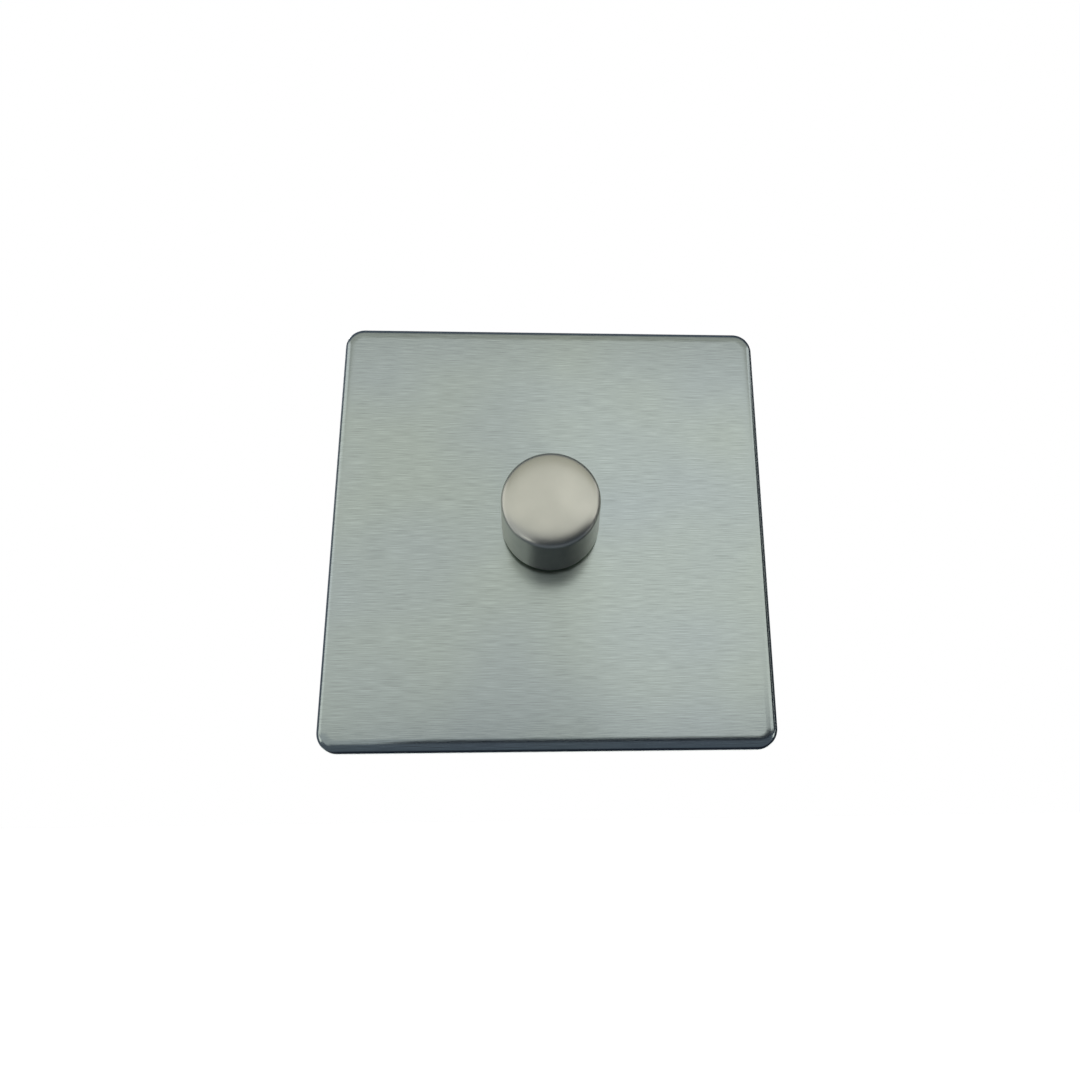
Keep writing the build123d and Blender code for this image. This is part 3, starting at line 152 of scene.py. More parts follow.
class ShaderGraph:
    """The node tree of one material, with short calls for the nodes that the finishes use."""

    def __init__(self, name: str, grain: Grain = Grain.SOLID) -> None:
        """Starts a material.

        Args:
            name: The material's name.
            grain: Where its patterns take their places from.
        """
        self.material = bpy.data.materials.new(name)
        self.material.use_nodes = True
        self.shader = self.material.node_tree.nodes["Principled BSDF"]
        self.place = self.add("TexCoord", grain.value, {})

    def add(self, kind: str, output: str | int, values: dict[str | int, Feed], **options: str) -> Socket:
        """Adds a node to the material's tree."""
        return grow(self.material.node_tree, kind, output, values, **options)

    def set(self, **values: Feed) -> None:
        """Sets or links the shader's inputs, named in small letters with underscores."""
        fill(self.shader, {name.replace("_", " ").title(): value for name, value in values.items()})

    def noise(self, per_mm: float | Place, detail: float = 2.0, shift: float = 0.0) -> Socket:
        """Noise whose features repeat so many times a millimetre.

        Args:
            per_mm: Features per millimetre, the same or one for each axis.
            detail: Octaves.
            shift: Moves the pattern, so that two layers differ.

        Returns:
            The noise's factor, about 0.5 on average.
        """
        counts = per_mm if isinstance(per_mm, tuple) else (per_mm,) * 3
        scale = tuple(count / MM for count in counts)
        place = self.add("Mapping", "Vector", {"Vector": self.place, "Scale": scale, "Location": (shift,) * 3})
        return self.add("TexNoise", "Fac", {"Vector": place, "Scale": 1.0, "Detail": detail})

    def spread(self, value: Socket, low: float, high: float, start: float = 0.3, end: float = 0.7) -> Socket:
        """Maps a factor from start to end onto low to high, clamped."""
        values = {"Value": value, "From Min": start, "From Max": end, "To Min": low, "To Max": high}
        return self.add("MapRange", "Result", values)

    def mix(self, factor: Socket, first: Colour, second: Colour) -> Socket:
        """Mixes two colours by a factor."""
        return self.add("Mix", 2, {0: factor, 6: (*first, 1.0), 7: (*second, 1.0)}, data_type="RGBA")

    def shade(self, colour: Socket | Colour, value: Socket) -> Socket:
        """Multiplies a colour by a grey value."""
        return self.add("VectorMath", "Vector", {0: colour, "Scale": value}, operation="SCALE")

    def combine(self, first: Socket, second: Socket, operation: str = "ADD") -> Socket:
        """Combines two values with a math operation."""
        return self.add("Math", "Value", {0: first, 1: second}, operation=operation)

    def roughen(self, broad: Socket, swing: Point, fine: Socket, base: float, rise: float) -> None:
        """Makes the roughness: a broad pattern swings it, and a fine one lifts it from its base."""
        self.set(roughness=self.combine(self.spread(broad, *swing), self.spread(fine, base, base + rise)))

    def comb(self, direction: str, axis: str = "Z") -> None:
        """Lays the highlights' stretch along the unrolled sheet or round an axis."""
        self.set(tangent=self.add("Tangent", "Tangent", {}, direction_type=direction, axis=axis))

    def relief(self, height: Socket, depth: float) -> None:
        """Bumps the surface by a height in millimetres times the factor."""
        values = {"Height": height, "Distance": depth * MM, "Strength": 1.0}
        self.set(normal=self.add("Bump", "Normal", values))


@dataclass(frozen=True)
class Finish:
    """A surface finish, made into one material the first time that a piece wears it."""

    name: str

    def material(self) -> bpy.types.Material:
        """The finish's material."""
        return bpy.data.materials.get(self.name) or self.make()

    def make(self) -> bpy.types.Material:
        """Builds the material."""
        raise NotImplementedError


@dataclass(frozen=True)
class BrushedSheet(Finish):
    """Stainless sheet with a long horizontal grain, brushed before it was folded."""

    cool: Colour = (0.418, 0.474, 0.462)
    warm: Colour = (0.436, 0.494, 0.452)
    roughness: float = 0.175
    wander: float = 0.03
    anisotropy: float = 0.55
    streak_depth: float = 0.0008
    streak_tone: float = 0.22
    broad_tone: float = 0.02
    scratch_tone: float = -0.3
    scratches: Point = (0.68, 0.78)
    clouds_per_mm: Place = (0.00003, 0.00004, 1.0)
    streaks_per_mm: Place = (0.00022, 0.0125, 1.0)
    broad_per_mm: Place = (0.00010, 0.0034, 1.0)
    hairs_per_mm: Place = (0.00020, 0.0095, 1.0)

    def make(self) -> bpy.types.Material:
        """Builds the material from layers of stretched noise.

        Returns:
            The material.
        """
        graph = ShaderGraph(self.name, Grain.SHEET)
        graph.set(metallic=1.0, anisotropic=self.anisotropy, anisotropic_rotation=0.25)
        cloud = graph.noise(self.clouds_per_mm, detail=1.0)
        fine = graph.noise(self.streaks_per_mm, detail=3.0)
        broad = graph.noise(self.broad_per_mm, shift=3.7)
        hair = graph.noise(self.hairs_per_mm, detail=1.0, shift=9.1)
        tint = graph.mix(graph.spread(cloud, 0.0, 1.0, 0.35, 0.65), self.cool, self.warm)
        streak = graph.combine(
            graph.spread(fine, -self.streak_tone, self.streak_tone),
            graph.spread(broad, 1.0 - self.broad_tone, 1.0 + self.broad_tone),
        )
        scratch = graph.spread(hair, 0.0, self.scratch_tone, *self.scratches)
        rough = graph.spread(fine, self.roughness - self.wander, self.roughness + self.wander)
        graph.set(base_color=graph.shade(tint, graph.combine(streak, scratch)), roughness=rough)
        graph.comb("UV_MAP")
        graph.relief(fine, self.streak_depth)
        return graph.material


@dataclass(frozen=True)
class SatinNickel(Finish):
    """Satin nickel plate on a turned shell."""

    bright: Colour = (0.600, 0.600, 0.520)
    dull: Colour = (0.552, 0.555, 0.482)
    roughness: float = 0.30
    anisotropy: float = 0.25
    pore_depth: float = 0.0012

    def make(self) -> bpy.types.Material:
        """Builds the material: a soft haze with a faint turned grain round the axis.

        Returns:
            The material.
        """
        graph = ShaderGraph(self.name)
        graph.set(metallic=1.0, anisotropic=self.anisotropy, anisotropic_rotation=0.25)
        haze = graph.noise(0.16, detail=3.0)
        pores = graph.noise(7.0, shift=2.3)
        graph.set(base_color=graph.mix(graph.spread(haze, 0.0, 1.0), self.dull, self.bright))
        graph.roughen(haze, (0.02, -0.02), pores, self.roughness, 0.05)
        graph.comb("RADIAL", "Y")
        graph.relief(pores, self.pore_depth)
        return graph.material


@dataclass(frozen=True)
class PlatedMetal(Finish):
    """Plain worked metal: zinc plate, brass, aluminium, spring steel or tin."""

    bright: Colour
    dull: Colour
    roughness: float = 0.34
    patch_mm: float = 6.0
    grain_mm: float = 0.25
    grain_depth: float = 0.003

    def make(self) -> bpy.types.Material:
        """Builds the material: patches of tone over a fine tumbled grain.

        Returns:
            The material.
        """
        graph = ShaderGraph(self.name)
        graph.set(metallic=1.0)
        patches = graph.noise(1 / self.patch_mm, detail=3.0)
        grain = graph.noise(1 / self.grain_mm, shift=5.9)
        graph.set(base_color=graph.mix(graph.spread(patches, 0.0, 1.0), self.dull, self.bright))
        graph.roughen(patches, (0.05, -0.04), grain, self.roughness, 0.1)
        graph.relief(grain, self.grain_depth)
        return graph.material


@dataclass(frozen=True)
class Moulded(Finish):
    """Moulded plastic, ceramic or potting, with a spark-eroded grain and faint flow marks."""

    colour: Colour
    shade: float = 0.12
    roughness: float = 0.46
    grain_mm: float = 0.22
    grain_depth: float = 0.012
    flow_per_mm: Place = (0.09, 0.05, 0.07)

    def make(self) -> bpy.types.Material:
        """Builds the material.

        Returns:
            The material.
        """
        graph = ShaderGraph(self.name)
        flow = graph.noise(self.flow_per_mm, detail=3.0)
        grain = graph.noise(1 / self.grain_mm, detail=3.0, shift=1.7)
        tone = graph.spread(flow, 1 - self.shade, 1 + self.shade)
        graph.set(base_color=graph.shade(self.colour, tone))
        graph.roughen(flow, (0.04, -0.04), grain, self.roughness, 0.12)
        graph.relief(grain, self.grain_depth)
        return graph.material


@dataclass(frozen=True)
class Laminate(Finish):
    """Board laminate: woven glass under a tinted resin."""

    resin: Colour
    weave: Colour
    thread_mm: float = 0.45
    roughness: float = 0.38
    along_per_mm: float = 0.06
    weave_depth: float = 0.01

    def make(self) -> bpy.types.Material:
        """Builds the material: two crossed sets of threads and a mottled resin.

        Returns:
            The material.
        """
        graph = ShaderGraph(self.name)
        across = 1 / self.thread_mm
        warp = graph.noise((across, 1.0, self.along_per_mm), detail=1.0)
        weft = graph.noise((self.along_per_mm, 1.0, across), detail=1.0, shift=4.4)
        mottle = graph.noise(0.12, detail=3.0, shift=7.7)
        threads = graph.combine(warp, weft, "MULTIPLY")
        cloth = graph.mix(graph.spread(threads, 0.0, 1.0, 0.2, 0.36), self.resin, self.weave)
        rough = graph.spread(mottle, self.roughness - 0.05, self.roughness + 0.08)
        graph.set(base_color=graph.shade(cloth, graph.spread(mottle, 0.9, 1.1)), roughness=rough)
        graph.relief(threads, self.weave_depth)
        return graph.material


@dataclass(frozen=True)
class Glazed(Finish):
    """Lacquer, enamel or glass: a coloured body under a clear coat."""

    colour: Colour
    metallic: float = 0.0
    coat: float = 0.7
    shade: float = 0.15
    grain_depth: float = 0.006

    def make(self) -> bpy.types.Material:
        """Builds the material.

        Returns:
            The material.
        """
        graph = ShaderGraph(self.name)
        graph.set(metallic=self.metallic, coat_weight=self.coat, coat_roughness=0.08)
        drift = graph.noise(0.5, detail=3.0)
        grain = graph.noise(3.0, shift=8.2)
        tone = graph.spread(drift, 1 - self.shade, 1 + self.shade)
        graph.set(base_color=graph.shade(self.colour, tone))
        graph.set(roughness=graph.spread(grain, 0.28, 0.42))
        graph.relief(grain, self.grain_depth)
        return graph.material


SLOT_FINISHES: dict[str, Finish] = {
    "plate_steel": BrushedSheet("plate_steel_finish"),
    "satin_nickel": SatinNickel("satin_nickel_finish"),
    "zinc_steel": PlatedMetal("zinc_finish", (0.50, 0.52, 0.54), (0.36, 0.37, 0.37), 0.3, patch_mm=2.5),
    "terminal_brass": PlatedMetal("brass_finish", (0.72, 0.54, 0.24), (0.58, 0.41, 0.18), 0.3, patch_mm=4.0),
    "bush_brass": PlatedMetal("bush_brass_finish", (0.70, 0.58, 0.32), (0.58, 0.46, 0.25), 0.26),
    "spindle_alloy": PlatedMetal("spindle_finish", (0.62, 0.63, 0.64), (0.54, 0.55, 0.56), 0.3),
    "spring_steel": PlatedMetal("spring_steel_finish", (0.42, 0.43, 0.45), (0.34, 0.34, 0.36), 0.28),
    "sink_aluminium": PlatedMetal("sink_finish", (0.52, 0.53, 0.55), (0.44, 0.45, 0.46), 0.36),
    "tinned_brass": PlatedMetal("tin_finish", (0.66, 0.66, 0.64), (0.56, 0.55, 0.52), 0.36, patch_mm=1.5),
    "contact_copper": PlatedMetal("contact_finish", (0.72, 0.42, 0.28), (0.60, 0.33, 0.21), 0.3, patch_mm=2.0),
    "case_plastic": Moulded("case_plastic_finish", (0.018, 0.018, 0.020)),
    "liner_plastic": Moulded("liner_plastic_finish", (0.014, 0.014, 0.016), roughness=0.5),
    "insert_plastic": Moulded("insert_plastic_finish", (0.024, 0.024, 0.026), roughness=0.42),
    "plunger_plastic": Moulded("plunger_plastic_finish", (0.62, 0.60, 0.55), roughness=0.4, grain_depth=0.006),
    "component_black": Moulded("component_black_finish", (0.012, 0.012, 0.013), roughness=0.4, grain_mm=0.15),
    "ferrite": Moulded("ferrite_finish", (0.045, 0.046, 0.048), roughness=0.62, grain_mm=0.3, grain_depth=0.03),
    "capacitor_shell": Moulded("capacitor_shell_finish", (0.44, 0.33, 0.05), roughness=0.24, grain_depth=0.005),
    "fuse_ceramic": Moulded("fuse_ceramic_finish", (0.66, 0.65, 0.61), roughness=0.26, grain_depth=0.004),
    "resistor_body": Glazed("resistor_lacquer_finish", (0.50, 0.38, 0.22)),
    "diode_glass": Glazed("diode_glass_finish", (0.26, 0.06, 0.03), coat=1.0),
    "winding_copper": Glazed("winding_enamel_finish", (0.46, 0.17, 0.06), metallic=0.85, coat=0.9),
    "track_laminate": Laminate("track_laminate_finish", (0.085, 0.052, 0.030), (0.11, 0.07, 0.04), thread_mm=0.3),
    "board_laminate": Laminate("board_laminate_finish", (0.40, 0.27, 0.10), (0.48, 0.35, 0.15)),
}
TIN = SLOT_FINISHES["tinned_brass"]
GOLD = PlatedMetal("band_gold_finish", (0.60, 0.42, 0.14), (0.50, 0.34, 0.11), patch_mm=0.8)
BLACK, BROWN, RED, ORANGE, YELLOW = (
    Moulded(f"band_{name}_finish", colour, roughness=0.3)
    for name, colour in (
        ("black", (0.012, 0.012, 0.012)), ("brown", (0.10, 0.035, 0.012)), ("red", (0.42, 0.02, 0.015)),
        ("orange", (0.62, 0.16, 0.02)), ("yellow", (0.66, 0.48, 0.03)),
    )
)

SLOT_OF: dict[str, str] = {part["node"]: part["material_slot"] for part in frame["record"]["subparts"]}
BODY_OF: dict[str, str] = {
    node: body for body, nodes in frame["record"]["behaviour"]["bodies"].items() for node in nodes
}
BOARD_OUT = Extent.of("circuit_board").back
SMOOTH_DEG = 60.0
SHARP_DEG = 30.0
FLAT_DEG = 0.5
WELD = 0.002
SLACK = 0.001
ON_AXIS = 1e-6
ASKEW = Vector((0.31, 0.17, 0.93))


def wear(piece: bpy.types.Object, finish: Finish) -> None:
    """Gives a piece one finish in place of what it had."""
    piece.data.materials.clear()
    piece.data.materials.append(finish.material())


def add_piece(
    mesh: bpy.types.Mesh, body: str | None, slot: str, *nodes: str, crease_deg: float = 35.0,
    finish: Finish | None = None,
) -> bpy.types.Object:
    """Puts a mesh in the scene as a piece, smooth apart from its creases.

    Args:
        mesh: The mesh, in metres, whose name the piece takes.
        body: The body that it moves with, or None for a piece that is attached to no body.
        slot: The record's material slot.
        nodes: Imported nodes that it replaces.
        crease_deg: Edges that turn by more than this stay sharp.
        finish: Its finish, where it isn't the slot's own.

    Returns:
        The piece.
    """
    shaper = bmesh.new()
    shaper.from_mesh(mesh)
    bmesh.ops.recalc_face_normals(shaper, faces=shaper.faces)
    shaper.to_mesh(mesh)
    shaper.free()
    mesh.shade_smooth()
    mesh.set_sharp_from_angle(angle=math.radians(crease_deg))
    piece = bpy.data.objects.new(mesh.name, mesh)
    bpy.context.scene.collection.objects.link(piece)
    wear(piece, finish or SLOT_FINISHES[slot])
    if body:
        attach(piece, body)
    if nodes:
        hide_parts(*nodes)
    triangles = sum(len(face.vertices) - 2 for face in mesh.polygons)
    LOG.info("%s: %d triangles on %s", piece.name, triangles, body or "two bodies")
    return piece


def write_mesh(shaper: bmesh.types.BMesh, name: str) -> bpy.types.Mesh:
    """Writes what a shaper holds into a new mesh.

    Args:
        shaper: The shaper, which is freed.
        name: The mesh's name.

    Returns:
        The mesh.
    """
    mesh = bpy.data.meshes.new(name)
    shaper.to_mesh(mesh)
    shaper.free()
    return mesh


def skin(shaper: bmesh.types.BMesh, rings: list[list[bmesh.types.BMVert]], closed: bool = True) -> None:
    """Joins each ring of vertices to the next one with faces.

    Args:
        shaper: What holds the vertices.
        rings: The rings, all with as many vertices; one on the axis repeats its vertex.
        closed: Whether the last ring joins the first.
    """
    following = rings[1:] + rings[:1] if closed else rings[1:]
    for first, second in zip(rings, following):
        for step in range(len(first)):
            after = (step + 1) % len(first)
            corners = dict.fromkeys((first[step], first[after], second[after], second[step]))
            if len(corners) > 2:
                shaper.faces.new(corners)


def lathe(name: str, section: Sequence[Point], centre: Point = (0.0, 0.0), turns: int = 128) -> bpy.types.Mesh:
    """Turns a closed half section about an axis along Y.

    Args:
        name: The mesh's name.
        section: Radius and out pairs, in order round the section. A radius of 0 is on the axis.
        centre: X and Z of the axis.
        turns: Segments round the axis.

    Returns:
        The mesh, in metres.
    """
    x, z = centre
    shaper = bmesh.new()
    angles = [math.tau * step / turns for step in range(turns)]
    rings = []
    for radius, out in section:
        if radius < ON_AXIS:
            rings.append([shaper.verts.new(at(x, out, z))] * turns)
            continue
        spots = (at(x + radius * math.cos(angle), out, z + radius * math.sin(angle)) for angle in angles)
        rings.append([shaper.verts.new(spot) for spot in spots])
    skin(shaper, rings)
    return write_mesh(shaper, name)


def arc(centre: Point, radius: float, start_deg: float, end_deg: float, steps: int) -> list[Point]:
    """Points along an arc in so many steps, both ends included."""
    angles = (math.radians(start_deg + (end_deg - start_deg) * step / steps) for step in range(steps + 1))
    return [(centre[0] + radius * math.cos(a), centre[1] + radius * math.sin(a)) for a in angles]


def bezier(ends: Sequence[Point], steps: int) -> list[Point]:
    """Points along a cubic Bezier curve, both ends included.

    Args:
        ends: Its four control points.
        steps: Segments along it.

    Returns:
        The points.
    """
    curve = []
    for step in range(steps + 1):
        t = step / steps
        weights = ((1 - t) ** 3, 3 * t * (1 - t) ** 2, 3 * t**2 * (1 - t), t**3)
        curve.append(tuple(sum(w * end[axis] for w, end in zip(weights, ends)) for axis in (0, 1)))
    return curve


def tube(name: str, path: Sequence[Vector], radius: float, sides: int = 12) -> bpy.types.Mesh:
    """Sweeps a round wire along a path and closes both its ends.

    Args:
        name: The mesh's name.
        path: Points of its middle line, in millimetres as right, out and up.
        radius: Radius of the wire.
        sides: Facets round it.

    Returns:
        The mesh, in metres.
    """
    shaper = bmesh.new()
    rings = []
    side = ASKEW
    for index, point in enumerate(path):
        direction = (path[min(index + 1, len(path) - 1)] - path[max(index - 1, 0)]).normalized()
        side = (side - direction * side.dot(direction)).normalized()
        across = direction.cross(side)
        ring = []
        for step in range(sides):
            angle = math.tau * step / sides
            spot = point + (side * math.cos(angle) + across * math.sin(angle)) * radius
            ring.append(shaper.verts.new(at(*spot)))
        rings.append(ring)
    skin(shaper, rings, closed=False)
    shaper.faces.new(rings[0])
    shaper.faces.new(list(reversed(rings[-1])))
    return write_mesh(shaper, name)


def rounded_path(corners: Sequence[Vector], radius: float, steps: int = 6) -> list[Vector]:
    """A bent wire's middle line: straight runs joined by smooth bends.

    Args:
        corners: The line's ends and corners.
        radius: How far from a corner its bend starts.
        steps: Segments in each bend.

    Returns:
        The points.
    """
    points = [corners[0]]
    for before, corner, after in zip(corners, corners[1:], corners[2:]):
        start = corner + (before - corner).normalized() * radius
        finish = corner + (after - corner).normalized() * radius
        for step in range(steps + 1):
            t = step / steps
            points.append(start * (1 - t) ** 2 + corner * 2 * t * (1 - t) + finish * t**2)
    return [*points, corners[-1]]


def gather(name: str, meshes: Iterable[bpy.types.Mesh]) -> bpy.types.Mesh:
    """Joins meshes into one.

    Args:
        name: The joined mesh's name.
        meshes: The meshes, which are used up.

    Returns:
        The joined mesh.
    """
    shaper = bmesh.new()
    for mesh in meshes:
        shaper.from_mesh(mesh)
        bpy.data.meshes.remove(mesh)
    return write_mesh(shaper, name)


def dress(*nodes: str) -> None:
    """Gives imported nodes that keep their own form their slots' finishes.

    Args:
        nodes: The nodes' names.
    """
    for name in nodes:
        node = frame["nodes"][name]
        wear(node, SLOT_FINISHES[SLOT_OF[name]])
        LOG.info("%s keeps its solid", name)


def bevelled(node: str, width: float) -> bmesh.types.BMesh:
    """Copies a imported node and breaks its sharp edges.

    Args:
        node: The node.
        width: Width of the broken edge.

    Returns:
        A shaper with the copy.
    """
    shaper = bmesh.new()
    shaper.from_mesh(frame["nodes"][node].data)
    bmesh.ops.remove_doubles(shaper, verts=shaper.verts, dist=WELD * MM)
    bmesh.ops.dissolve_limit(
        shaper, angle_limit=math.radians(FLAT_DEG), verts=shaper.verts, edges=shaper.edges, delimit={"NORMAL"}
    )
    crease = math.radians(SHARP_DEG)
    sharp = [edge for edge in shaper.edges if len(edge.link_faces) == 2 and edge.calc_face_angle(0.0) > crease]
    bmesh.ops.bevel(
        shaper, geom=sharp, offset=width * MM, offset_type="OFFSET", segments=2, profile=0.5,
        affect="EDGES", clamp_overlap=True,
    )
    bmesh.ops.triangulate(shaper, faces=[face for face in shaper.faces if len(face.verts) > 4])
    return shaper


def ease(node: str, width: float) -> bpy.types.Object | None:
    """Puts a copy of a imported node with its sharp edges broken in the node's place.

    A copy that isn't closed or that grew past the node isn't used, and the node keeps its own form.

    Args:
        node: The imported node.
        width: Width of the broken edge.

    Returns:
        The copy, or None where the node keeps its own form.
    """
    shaper = bevelled(node, width)
    lowest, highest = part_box(node)
    slack = SLACK * MM
    inside = all(
        lowest[axis] - slack <= vertex.co[axis] <= highest[axis] + slack
        for vertex in shaper.verts for axis in range(3)
    )
    closed = all(len(edge.link_faces) == 2 for edge in shaper.edges)
    mesh = write_mesh(shaper, f"{node}_eased")
    if inside and closed:
        return add_piece(mesh, BODY_OF[node], SLOT_OF[node], node)
    bpy.data.meshes.remove(mesh)
    dress(node)
    return None


@dataclass
class FrontPlate:
    """The folded sheet that shows on the wall, with its grain unrolled round the bends."""

    corner: float = 4.0
    bend: float = 2.5
    bend_start: float = 2.55
    bend_pull: float = 1.9
    bend_fall: float = 1.6
    sheet: float = 0.9
    hole: float = 10.8
    edge_break: float = 0.12
    seam: float = 0.06
    burr: float = 0.03
    hem: float = 0.02
    least_radius: float = 0.05
    below_bend: float = 0.1
    corner_steps: int = 14
    side_steps: int = 20
    bend_steps: int = 16
    edge_steps: int = 4
    extent: Extent = field(default_factory=lambda: Extent.of("front_plate"))

    def outline(self, inset: float) -> list[tuple[Vector, Vector]]:
        """The rounded square at an inset, as points with their outward directions.

        Args:
            inset: Distance inside the plate's outline.

        Returns:
            Pairs of point and unit direction, anticlockwise from the right-hand side's lower end.
        """
        radius = max(self.corner - inset, self.least_radius)
        reach = self.extent.width / 2 - inset - radius
        pairs: list[tuple[Vector, Vector]] = []
        for quarter in range(4):
            turn = Matrix.Rotation(quarter * math.pi / 2, 2)
            for step in range(self.side_steps):
                height = -reach + 2 * reach * step / self.side_steps
                pairs.append((turn @ Vector((reach + radius, height)), turn @ Vector((1, 0))))
            for step in range(self.corner_steps):
                angle = math.pi / 2 * step / self.corner_steps
                direction = Vector((math.cos(angle), math.sin(angle)))
                pairs.append((turn @ (Vector((reach, reach)) + direction * radius), turn @ direction))
        return pairs

    def ring(self, inset: float) -> list[Vector]:
        """The points of the outline at an inset."""
        return [point for point, _ in self.outline(inset)]

    def circle(self, radius: float) -> list[Vector]:
        """A circle with one point for each point of the outline, in the same direction."""
        return [point.normalized() * radius for point in self.ring(self.bend)]

    def stations(self) -> Iterator[tuple[list[Vector], float, float]]:
        """Rings round the sheet's section, from its outer edge over the face to the hole and back inside.

        Yields:
            For each ring its points, how far out it lies, and the unrolled distance past the bend's start.
        """
        back, face = self.extent.back, self.extent.front
        bend_foot, inner_face = face - self.bend, face - self.sheet
        arc_length = self.bend * math.pi / 2
        unrolled = arc_length + bend_foot - back
        inner = self.bend - self.sheet
        blunt, rim, seam = self.edge_break, self.hole / 2, self.seam
        yield self.ring(blunt), back, unrolled
        yield self.ring(0.0), back + blunt, unrolled - blunt
        yield self.ring(0.0), bend_foot - self.below_bend, arc_length + self.below_bend
        turn = (
            (0.0, bend_foot), (0.0, bend_foot + self.bend_fall),
            (self.bend_start - self.bend_pull, face), (self.bend_start, face),
        )
        run = arc_length + self.bend_start - self.bend
        for step, (inset, out) in enumerate(bezier(turn, self.bend_steps)):
            yield self.ring(inset), out, arc_length - run * step / self.bend_steps
        yield self.ring(self.bend_start + seam), face, self.bend - self.bend_start - seam
        yield self.circle(rim + blunt + seam), face, 0.0
        for radius, out in arc((rim + blunt, face - blunt), blunt, 90, 180, self.edge_steps):
            yield self.circle(radius), out, 0.0
        yield self.circle(rim), inner_face + self.burr, 0.0
        yield self.circle(rim + self.burr), inner_face, 0.0
        yield self.ring(self.bend + seam), inner_face, -seam
        inner_steps = self.bend_steps // 2
        for step in range(inner_steps + 1):
            angle = math.pi / 2 * (1 - step / inner_steps)
            inset, out = self.bend - inner * math.cos(angle), bend_foot + inner * math.sin(angle)
            yield self.ring(inset), out, inner * (math.pi / 2 - angle)
        yield self.ring(self.sheet), back + self.hem, unrolled
        yield self.ring(self.sheet - self.hem), back, unrolled

    def mesh(self) -> bpy.types.Mesh:
        """Joins the stations into one closed sheet and lays its unrolled grain out as UVs.

        Returns:
            The sheet, in metres.
        """
        flat = self.outline(self.bend)
        shaper = bmesh.new()
        grain = shaper.loops.layers.uv.new("unrolled")
        spots: dict[bmesh.types.BMVert, Vector] = {}
        rings = []
        for points, out, past in self.stations():
            ring = [shaper.verts.new(at(point.x, out, point.y)) for point in points]
            for vertex, point, (start, direction) in zip(ring, points, flat):
                spots[vertex] = point if past == 0.0 else start + direction * past
            rings.append(ring)
        skin(shaper, rings)
        for face in shaper.faces:
            for loop in face.loops:
                loop[grain].uv = spots[loop.vert]
        return write_mesh(shaper, "front_plate_sheet")

    def build(self) -> None:
        """Makes the plate and puts it in place of its solid."""
        add_piece(self.mesh(), "body", "plate_steel", "front_plate")


@dataclass
class Knob:
    """The turned cap: a domed top that rolls over into a skirt, wider towards the plate."""

    rim: float = 9.0
    crown_flat: float = 7.6
    crown_drop: float = 0.4
    shoulder: float = 1.8
    bore: float = 8.15
    roof: float = 1.2
    roof_round: float = 1.0
    foot_round: float = 0.15
    foot_draft: float = 0.01
    crown_steps: int = 56
    foot_steps: int = 5
    roof_steps: int = 6
    ring_edge: float = 0.06
    turns: int = 256
    extent: Extent = field(default_factory=lambda: Extent.of("knob_cap"))

    def crown(self) -> list[Point]:
        """The outside of the top, from the axis out to the rim, on one cubic curve.

        Returns:
            Points along the curve.
        """
        top = self.extent.front
        ends = (
            (0.0, top), (self.crown_flat, top), (self.rim, top - self.crown_drop), (self.rim, top - self.shoulder),
        )
        return bezier(ends, self.crown_steps)

    def section(self) -> list[Point]:
        """The cap's half section, from the middle of its top round to the middle of its roof.

        Returns:
            The section.
        """
        top, foot, skirt = self.extent.front, self.extent.back, self.extent.width / 2
        blunt, bore, turn = self.foot_round, self.bore, self.roof_round
        ceiling = top - self.roof - turn
        return [
            *self.crown(),
            (skirt - self.foot_draft, foot + 2 * blunt),
            *arc((skirt - blunt, foot + blunt), blunt, 0.0, -90.0, self.foot_steps),
            (bore + blunt, foot),
            (bore, foot + blunt),
            (bore, ceiling),
            *arc((bore - turn, ceiling), turn, 0.0, 90.0, self.roof_steps)[1:],
            (0.0, top - self.roof),
        ]

    def build(self) -> None:
        """Makes the cap, dresses the hub and breaks the edges of the grip ring inside it."""
        cap = lathe("knob_cap_turned", self.section(), turns=self.turns)
        add_piece(cap, "knob", "satin_nickel", "knob_cap")
        dress("knob_insert")
        ease("knob_grip_ring", self.ring_edge)


@dataclass
class PlateLiner:
    """The black moulding bonded in the plate, whose arms snap on the frame."""

    def build(self) -> None:
        """Dresses the liner."""
        dress("plate_liner")


@dataclass
class MountingFrame:
    """The plated yoke with its clamp nut and its earth block."""

    block_edge: float = 0.2
    washer_edge: float = 0.1

    def build(self) -> None:
        """Dresses the yoke and breaks the edges of what is fixed on it."""
        dress("mounting_frame", "bush_nut", "earth_screw")
        ease("earth_terminal", self.block_edge)
        ease("bush_washer", self.washer_edge)


@dataclass(frozen=True)
class Thread:
    """A screw thread cut along a stretch of a turned piece."""

    start: float
    end: float
    pitch: float
    depth: float

    def drop(self, angle: float, out: float) -> float:
        """How far the thread lies below its crest, fading out over half a pitch at both ends.

        Args:
            angle: Angle round the axis in radians.
            out: Distance along the axis.

        Returns:
            The drop, in millimetres.
        """
        if not self.start <= out <= self.end:
            return 0.0
        phase = (out / self.pitch - angle / math.tau) % 1.0
        fade = min(1.0, (out - self.start) / (self.pitch / 2), (self.end - out) / (self.pitch / 2))
        return self.depth * fade * abs(2.0 * phase - 1.0)


